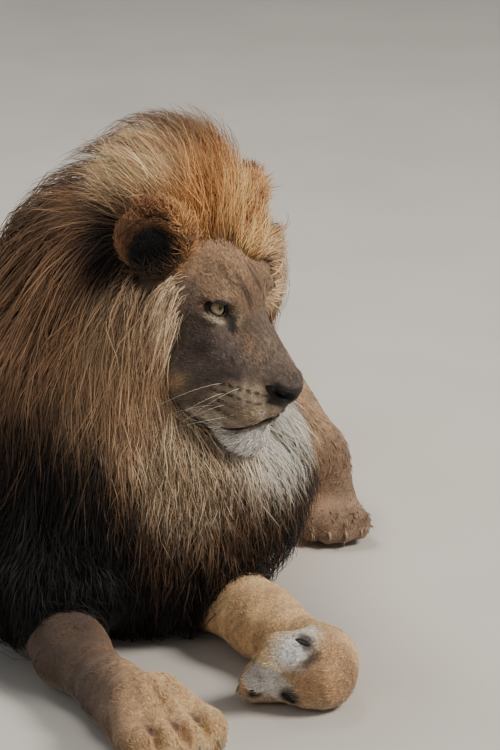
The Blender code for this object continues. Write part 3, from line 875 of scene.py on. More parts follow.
def ear_share(points):
    """1 on the ears, 0 off them."""
    shares = [near(local + (0, 0, -0.012), (0, 0, 0), (0.075, 0.085, 0.095)) for local, _ in by_ear(points)]
    return np.maximum(*shares)


def ear_round(local, half_width, half_length, lower=0):
    """How far out from the cup's middle, over half its sizes."""
    return np.sqrt((local[:, 1] / half_width) ** 2 + ((local[:, 2] + lower) / half_length) ** 2)


def ear_colour(points):
    """Gold on the front rim, tan behind, brown in the upper cup and nearly black low in it, its dark inside
    deepened by painted shade in the hollow.
    """
    share, layers = ear_share(points), []
    for local, forward in by_ear(points):
        close = share * (np.abs(local).max(1) < 0.09)
        inside = ease(local[:, 0], -0.022, -0.014) * close
        layers += [
            (GOLD, 0.85 * ease(forward, 0.006, 0.034) * close),
            ((122, 80, 48), (1 - ease(ear_round(local, 0.047, 0.052), 0.80, 0.98)) * inside),
            # Low in the cup: its dark inside and painted shade in the hollow.
            (EAR_CUP_DARK_AND_SHADE, (1 - ease(ear_round(local, 0.040, 0.043, 0.028), 0.75, 1.05)) * inside),
            ((52, 38, 30), 0.8 * near(local, (-0.03, 0, -0.030), (0.02, 0.05, 0.035))),
        ]
    return layered(EAR_RIM, layers)


def paw_layers(points, path, spread, size):
    """Painted shade in the creases between the toes, and pale tips."""
    _, lift = paw_ways(path, spread)
    joints = np.array(list(toes(path, spread, size)))
    for gap in (joints[1:] + joints[:-1]) / 2 + lift * 0.019:
        start = gap[0] * 1.8 - gap[1] * 0.8
        # Painted shade along each crease between two toes.
        yield (92, 66, 50), 0.75 * crease(points, start, gap[1], 0.0095)
    for tip in joints[:, 2]:
        yield (224, 206, 182), 0.8 * near(points, tip - (0, 0, 0.004), (0.026, 0.026, 0.020))


def body_colour(points):
    """Tawny, paler below and darker on the flank, with marked paws and a dark tail's end; painted sunlight on
    the left foreleg, painted shade on the right one and in the paws' creases.
    """
    x, y, z = points.T
    return layered(TAWNY, [
        (FLANK, 0.7 * ease(y, 0.25, 0.45) * ease(0.34 - z, 0, 0.16)),
        ((150, 112, 76), 0.5 * ease(z, 0.44, 0.50)),
        (PALE, 0.7 * ease(0.10 - z, 0, 0.07) * ease(y, 0.10, 0.30)),
        # The forelegs' tan, lightened as painted sunlight on the left one; the right one is shaded below.
        (SUNLIT_LEG, ease(-y, 0.02, 0.12) * ease(0.22 - z, 0, 0.08)),
        ((206, 162, 118), ease(-y, 0.27, 0.33) * ease(x, 0.16, 0.21)),
        # The right foreleg: its own darker brown, deepened by painted shade where it lies away from the sun.
        ((72, 52, 38), 0.92 * ease(-y, 0.02, 0.12) * ease(-x, -0.03, 0.10)),
        (PALE, 0.55 * ease(0.035 - z, 0, 0.025) * ease(-y, 0.05, 0.15)),
        *[layer for path, spread, _, size in paws() for layer in paw_layers(points, path, spread, size)],
        *marks(points, [(PALM_WHITE, 1, middle, (0.042, 0.042, 0.036)) for middle in PALM_WHITES]),
        # Painted shade along the paw's creases.
        *[((84, 60, 46), 0.8 * crease(points, *ends, 0.010)) for ends in zip(PALM_CREASE_SHADE, PALM_CREASE_SHADE[1:])],
        *marks(points, [((58, 48, 44), 0.85, pad[0], np.full(3, 1.6 * pad[2])) for pad in PALM_PADS]),
        ((138, 106, 80), 0.75 * ease(x, 0.12, 0.18) * ease(y, 0.22, 0.30) * ease(0.15 - z, 0, 0.06)),
        (TUFT_DARK, near(points, TAIL_TUFT, (0.10, 0.155, 0.10))),
    ])


COAT_RIPPLES = ((0.04, 0.05, 3), (0.05, 0.012, 4), (0.10, 0.0022, 5))  # depth, size, seed


def coat_colour(points):
    """Markings at any place on the skin: body, face and ears, with painted light and shade and soft
    unevenness.
    """
    head = to_head(points)
    colour = body_colour(points)
    on_head = head_near(head)
    colour = np.where(on_head[:, None], face_colour(head), colour)
    under_mane = np.where(on_head, mane_share(head), 1) * ease(-mane_depth(points), 0.010, 0.025)
    low = ease(0.46 - points[:, 2], 0, 0.14)[:, None]
    colour = layered(colour, [((104, 74, 50) * (1 - low) + np.array((44, 34, 30)) * low, under_mane)])
    ears = ear_share(points)
    colour = np.where((ears > 0.25)[:, None], ear_colour(points), colour)
    shade = sum((depth * ripple(points, size, seed) for depth, size, seed in COAT_RIPPLES), 1)
    return np.clip(colour * shade[:, None], 0, 255)


# ---- materials ----

def feed(tree, made, values):
    """Each input gets its value, or a link where the value is another node's output."""
    for key, value in values.items():
        if isinstance(value, bpy.types.NodeSocket):
            tree.links.new(value, made.inputs[key])
        else:
            made.inputs[key].default_value = value


def node(tree, kind, place, values, out=0, **settings):
    """Makes a node, feeds its inputs and gives back one of its outputs."""
    made = tree.nodes.new("ShaderNode" + kind)
    made.location = place
    for key, value in settings.items():
        setattr(made, key, value)
    feed(tree, made, values)
    return made.outputs[out]


def object_place(tree, place):
    return node(tree, "TexCoord", place, {}, "Object")


def ramp(tree, place, share, stops):
    """Colours between stops, each a position and a colour as light."""
    colours = node(tree, "ValToRGB", place, {"Fac": share}, "Color")
    elements = colours.node.color_ramp.elements
    elements[0].position, elements[1].position = stops[0][0], stops[-1][0]
    for position, _ in stops[1:-1]:
        elements.new(position)
    for element, (_, colour) in zip(elements, stops):
        element.color = (*colour, 1)
    return colours


def bump(tree, height, strength, depth):
    return node(tree, "Bump", (-200, -150), {"Height": height, "Strength": strength, "Distance": depth})


def new_group(name, inputs, outputs):
    """A node group: inputs are named with their defaults, outputs with their kinds."""
    tree = bpy.data.node_groups.new(name, "ShaderNodeTree")
    for label, default in inputs.items():
        kind = "NodeSocketFloat" if isinstance(default, float) else "NodeSocketColor"
        tree.interface.new_socket(label, in_out="INPUT", socket_type=kind).default_value = default
    for label, kind in outputs.items():
        tree.interface.new_socket(label, in_out="OUTPUT", socket_type="NodeSocket" + kind)
    given, result = tree.nodes.new("NodeGroupInput"), tree.nodes.new("NodeGroupOutput")
    given.location, result.location = (-900, 0), (600, 0)
    return tree, given.outputs, result


@cache
def coat_shade_group():
    """Coat colour, uneven from tuft to tuft, and a roughness that is greasier where it is darker."""
    tree, given, result = new_group(
        "Coat shade",
        {"Colour": (0.5, 0.3, 0.15, 1), "Fleck size": 300.0, "Fleck depth": 0.25, "Roughness": 0.6},
        {"Colour": "Color", "Roughness": "Float"})
    place = object_place(tree, (-1100, -200))
    fleck = node(tree, "TexNoise", (-700, -100), {"Vector": place, "Scale": given["Fleck size"], "Detail": 3})
    patch = node(tree, "TexNoise", (-700, -350), {"Vector": place, "Scale": 22})
    mix = node(tree, "Math", (-480, -150), {0: patch, 1: 0.3, 2: fleck}, operation="MULTIPLY_ADD")
    low = node(tree, "Math", (-480, 100), {0: 1, 1: given["Fleck depth"]}, operation="SUBTRACT")
    high = node(tree, "Math", (-480, 250), {0: 1, 1: given["Fleck depth"]}, operation="ADD")
    spread = node(tree, "MapRange", (-300, -100),
                  {"Value": mix, "From Min": 0.35, "From Max": 0.95, "To Min": low, "To Max": high})
    tint = node(tree, "VectorMath", (0, 100), {0: given["Colour"], "Scale": spread}, operation="SCALE")
    rough = node(tree, "Math", (0, -150), {0: fleck, 1: 0.12, 2: given["Roughness"]},
                 operation="MULTIPLY_ADD")
    feed(tree, result, {"Colour": tint, "Roughness": rough})
    return tree


@cache
def fur_nap_group():
    """The nap of short fur as a height: noise drawn out along the coat's lie."""
    tree, given, result = new_group("Fur nap", {"Along": 90.0, "Across": 700.0}, {"Height": "Float"})
    place = object_place(tree, (-900, -200))
    lie = node(tree, "Attribute", (-900, -450), {}, "Vector", attribute_name="lie")
    along = node(tree, "VectorMath", (-700, -300), {0: place, 1: lie}, "Value", operation="DOT_PRODUCT")
    on_lie = node(tree, "VectorMath", (-520, -350), {0: lie, "Scale": along}, operation="SCALE")
    rest = node(tree, "VectorMath", (-340, -250), {0: place, 1: on_lie}, operation="SUBTRACT")
    fine = node(tree, "VectorMath", (-160, -200), {0: rest, "Scale": given["Across"]}, operation="SCALE")
    coarse = node(tree, "VectorMath", (-160, -380), {0: on_lie, "Scale": given["Along"]}, operation="SCALE")
    both = node(tree, "VectorMath", (20, -280), {0: fine, 1: coarse}, operation="ADD")
    hair = node(tree, "TexNoise", (200, -200), {"Vector": both, "Scale": 1, "Detail": 2})
    feed(tree, result, {"Height": hair})
    return tree


def new_material(name):
    material = bpy.data.materials.new(name)
    material.use_nodes = True
    return material, material.node_tree, material.node_tree.nodes["Principled BSDF"]


@cache
def coat_material(name, fleck_size, fleck_depth, roughness, sheen=0.0, nap=None):
    """Colour from the coat attribute, flecked, with a bumped nap where the fur is short."""
    material, tree, shader = new_material(name)
    coat = node(tree, "Attribute", (-700, 200), {}, "Color", attribute_name="coat")
    values = {"Colour": coat, "Fleck size": fleck_size, "Fleck depth": fleck_depth, "Roughness": roughness}
    shade = node(tree, "Group", (-450, 200), values, node_tree=coat_shade_group()).node.outputs
    feed(tree, shader, {"Base Color": shade["Colour"], "Roughness": shade["Roughness"], "Sheen Weight": sheen,
                        "Sheen Roughness": 0.45, "Specular IOR Level": 0.3})
    if nap:
        values = dict(zip(("Along", "Across"), nap))
        height = node(tree, "Group", (-450, -150), values, node_tree=fur_nap_group())
        feed(tree, shader, {"Normal": bump(tree, height, 1.0, 0.0022)})
    return material


@cache
def leather_material():
    """Wet, pebbled leather of the nose and pads."""
    material, tree, shader = new_material("Nose and pad leather")
    place = object_place(tree, (-900, 0))
    pebble = node(tree, "TexVoronoi", (-650, -100), {"Vector": place, "Scale": 900}, "Distance")
    stain = node(tree, "TexNoise", (-650, 200), {"Vector": place, "Scale": 60})
    tone = ramp(tree, (-420, 200), stain, [(0.35, linear(LEATHER)), (0.85, linear((34, 27, 27)))])
    feed(tree, shader, {"Base Color": tone, "Normal": bump(tree, pebble, 0.6, 0.0006),
                        "Roughness": 0.42, "Specular IOR Level": 0.25})
    return material


IRIS = [(0.00, (5, 4, 4)), (0.125, (5, 4, 4)), (0.150, (150, 122, 78)), (0.30, (206, 184, 138)),
        (0.50, (182, 160, 118)), (0.585, (112, 94, 66)), (0.625, (30, 24, 20)), (0.72, (70, 56, 48))]


@cache
def eye_material():
    """Pupil, iris, its dark edge and the white from the angle off the gaze, under a wet coat."""
    material, tree, shader = new_material("Lion eye")
    ring, turn = (node(tree, "Attribute", place, {}, "Fac", attribute_name=name)
                  for place, name in (((-900, 200), "ring"), ((-900, -100), "turn")))
    spot = node(tree, "CombineXYZ", (-720, -100), {"X": turn, "Y": ring})
    fibre = node(tree, "TexNoise", (-540, -100), {"Vector": spot, "Scale": 9, "Detail": 3})
    tone = ramp(tree, (-540, 250), ring, [(position, linear(colour)) for position, colour in IRIS])
    mix = node(tree, "Mix", (-200, 200), {"Factor": 0.55, 6: tone, 7: fibre}, 2, data_type="RGBA",
               blend_type="MULTIPLY")
    feed(tree, shader, {"Base Color": mix, "Roughness": 0.22, "Coat Weight": 1.0, "Coat Roughness": 0.02})
    return material


@cache
def plain_material(name, colour, roughness, grain, depth):
    """One tone with fine grain in colour and height, for floor and claws."""
    material, tree, shader = new_material(name)
    noise = node(tree, "TexNoise", (-700, 0), {"Vector": object_place(tree, (-900, 0)), "Scale": grain})
    tone = ramp(tree, (-450, 100), noise, [(0, linear(colour) * 0.82), (1, linear(colour))])
    feed(tree, shader, {"Base Color": tone, "Normal": bump(tree, noise, 1.0, depth), "Roughness": roughness})
    return material


# ---- the coat's lie ----

def guides_along(path, step=0.05):
    """Places and directions spaced along a jointed line."""
    for start, end in zip(np.array(path), np.array(path)[1:]):
        length = np.linalg.norm(end - start)
        count = max(1, round(length / step))
        for t in np.arange(0.5, count) / count:
            yield start + (end - start) * t, (end - start) / length


# Places and directions of short fur on the head, in its own measures, for one side.
FACE_LIE = [
    ((0.130, 0.0, -0.060), (-0.80, 0.0, 0.60)), ((0.090, 0.0, -0.035), (-0.90, 0.0, 0.42)),
    ((0.050, 0.0, -0.010), (-0.90, 0.0, 0.45)), ((0.000, 0.0, 0.040), (-0.85, 0.0, 0.50)),
    ((0.000, 0.040, 0.035), (-0.85, 0.35, 0.40)), ((-0.060, 0.0, 0.080), (-0.80, 0.0, 0.60)),
    ((0.060, 0.035, -0.035), (-0.85, 0.35, 0.05)), ((0.110, 0.045, -0.090), (-0.90, 0.40, -0.15)),
    ((0.080, 0.065, -0.110), (-0.92, 0.30, -0.30)), ((0.030, 0.075, -0.050), (-0.90, 0.30, -0.30)),
    ((-0.020, 0.090, -0.030), (-0.90, 0.30, -0.30)), ((-0.030, 0.090, -0.080), (-0.80, 0.20, -0.55)),
    ((0.020, 0.075, -0.120), (-0.85, 0.15, -0.50)), ((0.060, 0.050, -0.165), (-0.75, 0.15, -0.65)),
    ((0.110, 0.0, -0.165), (-0.20, 0.0, -0.98)), ((0.120, 0.0, -0.130), (-0.30, 0.0, -0.95)),
    ((-0.050, 0.085, 0.015), (-0.90, 0.35, 0.10)), ((-0.015, 0.060, 0.022), (-0.85, 0.35, 0.25)),
]


def head_guides(listed):
    """Places and directions of one side of the head, set on both and turned into the body's measures."""
    for place, direction in listed:
        for side in both_sides(place):
            yield in_head(*sided(place, side)), HEAD @ unit(sided(direction, side))


@cache
def short_lie_guides():
    """Places and directions of the short fur along legs and tail, on the back, the face and the ears."""
    guides = []
    for leg in FORELEGS.values():
        end, before = np.array(leg["paw"][-1]), np.array(leg["paw"][-2])
        guides += guides_along(leg["arm"] + leg["paw"][1:])
        guides.append((end + (end - before) * 0.5, unit(end - before)))
    for way in SIDES.values():
        hip, knee, hock, foot = hind_leg(way)
        for path in ([hip, knee], [knee, hock], foot):
            guides += guides_along(path)
    guides += guides_along(tail_line(2))
    for y in np.arange(0.1, 1.0, 0.1):
        for x, z, down in ((0, 0.46, -0.05), (-0.17, 0.30, -0.45), (0.17, 0.30, -0.45), (0, 0.06, -0.1)):
            guides.append((np.array((CHEST_X + x, y, z)), unit(np.array((0.0, 1.0, down)))))
    guides += head_guides(FACE_LIE)
    for side in SIDES.values():
        middle, axes = ear_frame(side)
        guides += [(middle, axes[:, 2]), (middle - axes[:, 0] * 0.02, axes[:, 2])]
    return [np.array(column) for column in zip(*guides)]


COAT_SPREAD, MANE_SPREAD = 0.035, 0.050  # how far guides reach, for the short coat and the mane


def blended_lie(points, places, ways, spread):
    """The mean direction of the nearby guides, each weighed by a bell curve of its distance."""
    result, batch = np.empty_like(points), 20000
    for start in range(0, len(points), batch):
        away = ((points[start:start + batch, None] - places[None]) ** 2).sum(-1)
        weight = np.exp(-(away - away.min(1, keepdims=True)) / (2 * spread**2))
        result[start:start + batch] = weight @ ways
    return unit(result)


def short_lie(points, normals):
    """The short fur's direction along the skin."""
    lie = blended_lie(points, *short_lie_guides(), COAT_SPREAD)
    return unit(lie - normals * (lie * normals).sum(1, keepdims=True))


# ---- sizes and colours a user may change ----

class LionCoatSettings(bpy.types.PropertyGroup):
    lock_width: bpy.props.FloatProperty(
        name="Lock width", description="Width of one tuft of the mane", default=0.0016,
        min=0.001, max=0.01, unit="LENGTH")
    mane_length: bpy.props.FloatProperty(
        name="Mane length", description="Multiplies every length of the mane", default=1.0, min=0.5, max=1.2)
    face_fur: bpy.props.FloatProperty(
        name="Face fur", description="Length of the tufts on the face", default=0.0085,
        min=0.003, max=0.02, unit="LENGTH")
    body_fur: bpy.props.FloatProperty(
        name="Body fur", description="Length of the tufts on body and legs", default=0.019,
        min=0.005, max=0.04, unit="LENGTH")
    whisker_length: bpy.props.FloatProperty(
        name="Whisker length", description="Length of the longest whisker", default=0.135,
        min=0.03, max=0.2, unit="LENGTH")
    gaze: bpy.props.FloatVectorProperty(
        name="Gaze", description="The way both eyes look", default=(0.66, -0.73, 0.16), subtype="DIRECTION")


class LionStageSettings(bpy.types.PropertyGroup):
    floor_colour: bpy.props.FloatVectorProperty(
        name="Floor", description="The floor's colour", default=(0.62, 0.58, 0.52), subtype="COLOR")
    key_power: bpy.props.FloatProperty(
        name="Key light", description="Power of the large soft light", default=262.0, min=0, unit="POWER")
    fill_power: bpy.props.FloatProperty(
        name="Fill light", description="Power of the light on the other side", default=20.0,
        min=0, unit="POWER")
    sky: bpy.props.FloatProperty(
        name="Room light", description="Strength of the light from all round", default=0.29, min=0)


# ---- operators ----

class LION_OT_skin(bpy.types.Operator):
    """The one closed skin, with its markings, its painted light and shade, and the lie of its nap."""
    bl_idname = "lion.skin"
    bl_label = "Skin"

    def execute(self, context):
        points, quads = skin_surface()
        normals = flesh().outward(points)
        loops, starts = even_faces(quads)
        skin = put_mesh("skin", points, loops, starts, linear(coat_colour(points)))
        layer = skin.data.attributes.new("lie", "FLOAT_VECTOR", "POINT")
        layer.data.foreach_set("vector", short_lie(points, normals).astype(np.float32).ravel())
        material = coat_material("Short coat skin", 420, 0.60, 0.56, sheen=0.12, nap=(90, 700))
        settle(skin, "body_fur", material, *FLESH_NODES)
        return {"FINISHED"}


def turns(count):
    """Angles evenly round a circle."""
    return np.linspace(0, 2 * math.pi, count, endpoint=False)


def round_ways(turn, across, up):
    """Directions round a circle, from the cosine across and the sine up."""
    return np.cos(turn)[None, :, None] * across + np.sin(turn)[None, :, None] * up


EYE_ROOM, CORNEA_RISE = 0.0008, 0.0016  # left free round the ball, and how far its clear front stands out


def eye_surface(way, gaze):
    """A ball about its gaze: radius as a function of the angle off the gaze, with the cornea's bulge."""
    middle = in_head(*sided(EYE_IN_HEAD, way))
    angle, turn = np.linspace(0.02, math.pi - 0.02, 48), turns(64)
    radius = EYE_RADIUS - EYE_ROOM + CORNEA_RISE * (1 - ease(angle, 0.30, 0.62))
    ahead = unit(np.asarray(gaze, float))
    across = unit(np.cross((0, 0, 1), ahead))
    up = np.cross(ahead, across)
    rings = (middle + (radius * np.cos(angle))[:, None, None] * ahead
             + (radius * np.sin(angle))[:, None, None] * round_ways(turn, across, up))
    ring = np.append(np.repeat(angle, len(turn)), (0, math.pi))
    around = np.append(np.tile(np.abs(turn - math.pi), len(angle)), (0, 0))
    return rings, ring / 1.35, around


class LION_OT_eyes(bpy.types.Operator):
    """Both eyes, with pupil and iris turned to the gaze."""
    bl_idname = "lion.eyes"
    bl_label = "Eyes"

    def execute(self, context):
        gaze = context.scene.lion_coat.gaze
        material = eye_material()
        for side, way in SIDES.items():
            rings, ring, turn = eye_surface(way, gaze)
            eye = put_mesh(f"eye_{side}_ball", *closed_grid(rings), values={"ring": ring, "turn": turn})
            settle(eye, "eye", material, f"eye_{side}")
        return {"FINISHED"}


LID_REACH, LID_HEIGHTS = 0.95, (0.62, 0.52)  # half the opening over the eye's radius; upper and lower half
# The shell's section: how far from the opening to the back, and the distance from the eye's middle.
LID_SECTION = [(0.9, 0.0180), (0.4, 0.0181), (0.05, 0.0182), (0.0, 0.0190), (0.0, 0.0200), (0.06, 0.0208),
               (0.16, 0.0209), (0.40, 0.0212), (0.9, 0.0212)]


def lid_surface(way):
    """A shell over the eye with an almond hole. Round the hole the edge is a function of the turn: along
    the lids its cosine, across them its sine, drawn in towards both corners. The section goes from inside
    the shell, over the rim, to outside and back."""
    axes = HEAD @ lid_axes(way)
    middle, turn = in_head(*sided(EYE_IN_HEAD, way)), turns(72)
    height = np.where(np.sin(turn) > 0, *LID_HEIGHTS) * np.abs(np.sin(turn)) ** 1.25 * np.sign(np.sin(turn))
    edge = np.stack((np.full_like(turn, 1), LID_REACH * np.cos(turn), height), 1)
    back = np.stack((np.full_like(turn, -0.45), np.cos(turn), np.sin(turn)), 1)
    rings = [middle + (unit(edge * (1 - share) + back * share) * radius) @ axes.T
             for share, radius in LID_SECTION]
    rows, columns = len(LID_SECTION), len(turn)
    close = grid_faces(2, columns)
    close = np.where(close >= columns, close - columns, close + (rows - 1) * columns)
    faces = np.concatenate((grid_faces(rows, columns), close))
    shares = np.repeat([share for share, _ in LID_SECTION], columns)
    return np.concatenate(rings), (faces if way > 0 else faces[:, ::-1]), shares


class LION_OT_lids(bpy.types.Operator):
    """Upper and lower lids with dark rims, as one shell over each eye."""
    bl_idname = "lion.lids"
    bl_label = "Lids"

    def execute(self, context):
        for side, way in SIDES.items():
            points, faces, share = lid_surface(way)
            colour = layered(coat_colour(points), [(EYE_RIM, 1 - ease(share, 0.08, 0.20))])
            lids = put_mesh(f"lids_{side}", points, *even_faces(faces), linear(colour))
            settle(lids, "face_fur", coat_material("Lid skin", 500, 0.12, 0.42))
        return {"FINISHED"}


CAMERA_TARGET = np.array((0.135, 0, 0.378))
CAMERA_DISTANCE, CAMERA_ELEVATION = 5.04, math.radians(18)
CAMERA_LENS, CAMERA_SENSOR = 170.4, 36.0


FLOOR_HALF, FLOOR_LINES = 9.0, 13
LIGHT_TARGET = HOME + (0, 0, 0.35)


def add_to_scene(data, place, turn):
    made = bpy.data.objects.new(data.name, data)
    made.location, made.rotation_euler = place, turn
    bpy.context.scene.collection.objects.link(made)
    return made


def add_camera():
    back = np.array((0, -math.cos(CAMERA_ELEVATION), math.sin(CAMERA_ELEVATION)))
    data = bpy.data.cameras.new("camera")
    data.sensor_fit, data.sensor_height, data.lens = "VERTICAL", CAMERA_SENSOR, CAMERA_LENS
    data.clip_end = 60
    place = HOME + CAMERA_TARGET + back * CAMERA_DISTANCE
    bpy.context.scene.camera = add_to_scene(data, place, (math.pi / 2 - CAMERA_ELEVATION, 0, 0))


def add_area_light(name, place, size, power, colour):
    data = bpy.data.lights.new(name, "AREA")
    data.shape, data.size, data.energy, data.color = "DISK", size, power, colour
    ahead = Vector(LIGHT_TARGET - place)
    add_to_scene(data, place, ahead.to_track_quat("-Z", "Y").to_euler())


class LION_OT_stage(bpy.types.Operator):
    """A pale floor, soft lights and the camera."""
    bl_idname = "lion.stage"
    bl_label = "Stage"

    def execute(self, context):
        settings = context.scene.lion_stage
        side = np.linspace(-FLOOR_HALF, FLOOR_HALF, FLOOR_LINES)
        x, y = np.meshgrid(side, side, indexing="ij")
        points = np.stack((x, y, np.zeros_like(x)), -1).reshape(-1, 3) - HOME
        quads = grid_faces(FLOOR_LINES, FLOOR_LINES, wrap=False)[:, ::-1]
        floor = put_mesh("floor", points, *even_faces(quads))
        colour = tuple(255 * (1.055 * c ** (1 / 2.4) - 0.055) for c in settings.floor_colour)
        floor.data.materials.append(plain_material("Studio floor", colour, 0.85, 3, 0.0004))
        add_area_light("key", (3.6, -1.2, 3.6), 1.7, settings.key_power, (1.0, 0.95, 0.88))
        add_area_light("fill", (-2.6, -3.6, 2.2), 2.8, settings.fill_power, (0.92, 0.96, 1.0))
        add_area_light("top", (-1.0, 1.6, 3.8), 2.2, settings.fill_power * 5.5, (1.0, 0.97, 0.93))
        world = bpy.data.worlds.new("room")
        world.use_nodes = True
        background = world.node_tree.nodes["Background"]
        background.inputs["Color"].default_value = (0.86, 0.88, 0.92, 1)
        background.inputs["Strength"].default_value = settings.sky
        bpy.context.scene.world = world
        add_camera()
        return {"FINISHED"}


# ---- tufts and locks ----

def scattered(count, weight, seed):
    """Roots drawn at random over the skin, as dense as the weight at each face's middle."""
    points, quads = skin_surface()
    corners = points[quads]
    across = np.cross(corners[:, 2] - corners[:, 0], corners[:, 3] - corners[:, 1])
    area = 0.5 * np.linalg.norm(across, axis=1)
    chance = area * weight(corners.mean(1))
    draw = np.random.default_rng(seed)
    face = corners[draw.choice(len(quads), count, p=chance / chance.sum())]
    u, v = draw.random((2, count, 1))
    roots = (face[:, 0] * (1 - u) + face[:, 1] * u) * (1 - v) + (face[:, 3] * (1 - u) + face[:, 2] * u) * v
    return roots, draw


def unwrapped(roots, start, end):
    """The skin's own unwrap: the angle round a line through the part, and the way along it."""
    along = unit(np.asarray(end, float) - start)
    across = unit(np.cross(along, (0.31, 0.17, 0.93)))
    up = np.cross(along, across)
    offset = roots - start
    spot = np.stack((np.arctan2(offset @ up, offset @ across), offset @ along), 1)
    low, high = spot.min(0), spot.max(0)
    return 0.02 + 0.96 * (spot - low) / (high - low)


PATCH = 0.003  # width of a tuft's place on the map
RING_BACK, RING_RIDGE = 0.12, 0.30  # how far a tuft's section reaches back and out, over its width


def tuft_piece(name, lines, widths, facing, colours, axis, slot, material):
    """Closed tapered tufts. Each line carries a three-sided ring at every joint but its last, which is
    the tip. A ring has one corner out along the facing and two a width apart across the line."""
    count, joints, _ = lines.shape
    rings = joints - 1
    ahead = np.gradient(lines, axis=1)[:, :rings]
    across = unit(np.cross(ahead, facing[:, None]))
    out = unit(np.cross(across, ahead))
    size = widths[:, :rings, None]
    corners = np.stack((lines[:, :rings] + across * size / 2 - out * size * RING_BACK,
                        lines[:, :rings] + out * size * RING_RIDGE,
                        lines[:, :rings] - across * size / 2 - out * size * RING_BACK), 2)
    per = rings * 3 + 1
    points = np.concatenate((corners.reshape(count, rings * 3, 3), lines[:, -1:]), 1)
    quads = grid_faces(rings, 3)
    ends = (rings - 1) * 3 + np.arange(3)
    tips = np.stack((ends, (rings - 1) * 3 + (np.arange(3) + 1) % 3, np.full(3, rings * 3)), 1)
    loops = np.concatenate((quads.ravel(), tips.ravel(), (2, 1, 0)))
    sizes = np.concatenate((np.full(len(quads), 4), np.full(4, 3)))
    starts = np.concatenate(((0,), np.cumsum(sizes)[:-1]))
    all_loops = (loops[None] + np.arange(count)[:, None] * per).ravel()
    all_starts = (starts[None] + np.arange(count)[:, None] * len(loops)).ravel()
    shades = np.concatenate((np.repeat(colours[:, :rings], 3, 1), colours[:, -1:]), 1)
    place = unwrapped(lines[:, 0], *axis)
    step = np.arange(per) // 3 / rings - 0.5
    lean = (np.arange(per) % 3 - 1) / 2
    uv = place[:, None] + PATCH * np.stack((lean, step), 1)[None]
    piece = put_mesh(name, points.reshape(-1, 3), all_loops, all_starts,
                     linear(np.clip(shades, 0, 255)).reshape(-1, 3), uv.reshape(-1, 2))
    return settle(piece, slot, material)


ROOT_SINK, TUFT_OFF_FLOOR = 0.0006, 0.0012  # roots under the skin, and tufts over the floor


def tapered(along, width):
    """Widths down a tuft: nearly even to its middle, then to a point."""
    return width[:, None] * (0.75 + 0.25 * ease(along, 0, 0.25)) * (1 - along**2.2) + 0.0001


def short_tufts(name, count, weight, length, width, lift, seed, axis, slot="face_fur", joints=3, frizz=0.2,
                uneven=0.05):
    """Flat-lying tufts: from the root along the lie, raised by lift times t less a part of its square."""
    roots, draw = scattered(count, weight, seed)
    normals = flesh().outward(roots)
    lie = short_lie(roots, normals)
    side = np.cross(normals, lie)
    lie = unit(lie + side * draw.normal(0, frizz, (count, 1)))
    size = length * draw.uniform(0.65, 1.25, (count, 1, 1))
    t = np.linspace(0, 1, joints)[None, :, None]
    bend = side * draw.normal(0, 0.12, (count, 1))
    lines = (roots[:, None] + lie[:, None] * size * t + bend[:, None] * size * t**2
             + normals[:, None] * (size * lift * (t - 0.45 * t**2) - ROOT_SINK))
    lines[..., 2] = np.maximum(lines[..., 2], TUFT_OFF_FLOOR)
    widths = tapered(t[..., 0], width * draw.uniform(0.7, 1.3, count))
    base = coat_colour(roots) * draw.normal(1, uneven, (count, 1))
    colours = base[:, None] * (0.90 + 0.22 * t)
    material = coat_material("Short coat tufts", 300, 0.26, 0.50, sheen=0.15)
    return tuft_piece(name, lines, widths, normals, colours, axis, slot, material)


# ---- the mane ----

# Which way the mane flows: place and direction. First in the head's measures, for one side.
CREST_FLOW = [
    ((-0.030, 0.0, 0.080), (-0.30, 0.0, 0.95)), ((-0.060, 0.0, 0.130), (-0.40, 0.0, 0.92)),
    ((-0.110, 0.0, 0.160), (-0.70, 0.0, 0.70)), ((-0.190, 0.0, 0.130), (-1.0, 0.0, -0.10)),
    ((-0.045, 0.050, 0.070), (-0.35, 0.35, 0.87)), ((-0.090, 0.070, 0.110), (-0.60, 0.50, 0.60)),
    ((-0.035, 0.070, 0.050), (-0.45, 0.60, 0.55)), ((-0.175, 0.125, 0.070), (-0.85, 0.45, -0.10)),
    ((-0.050, 0.095, -0.010), (0.58, 0.15, -0.92)), ((-0.110, 0.115, -0.045), (0.36, 0.12, -0.93)),
]
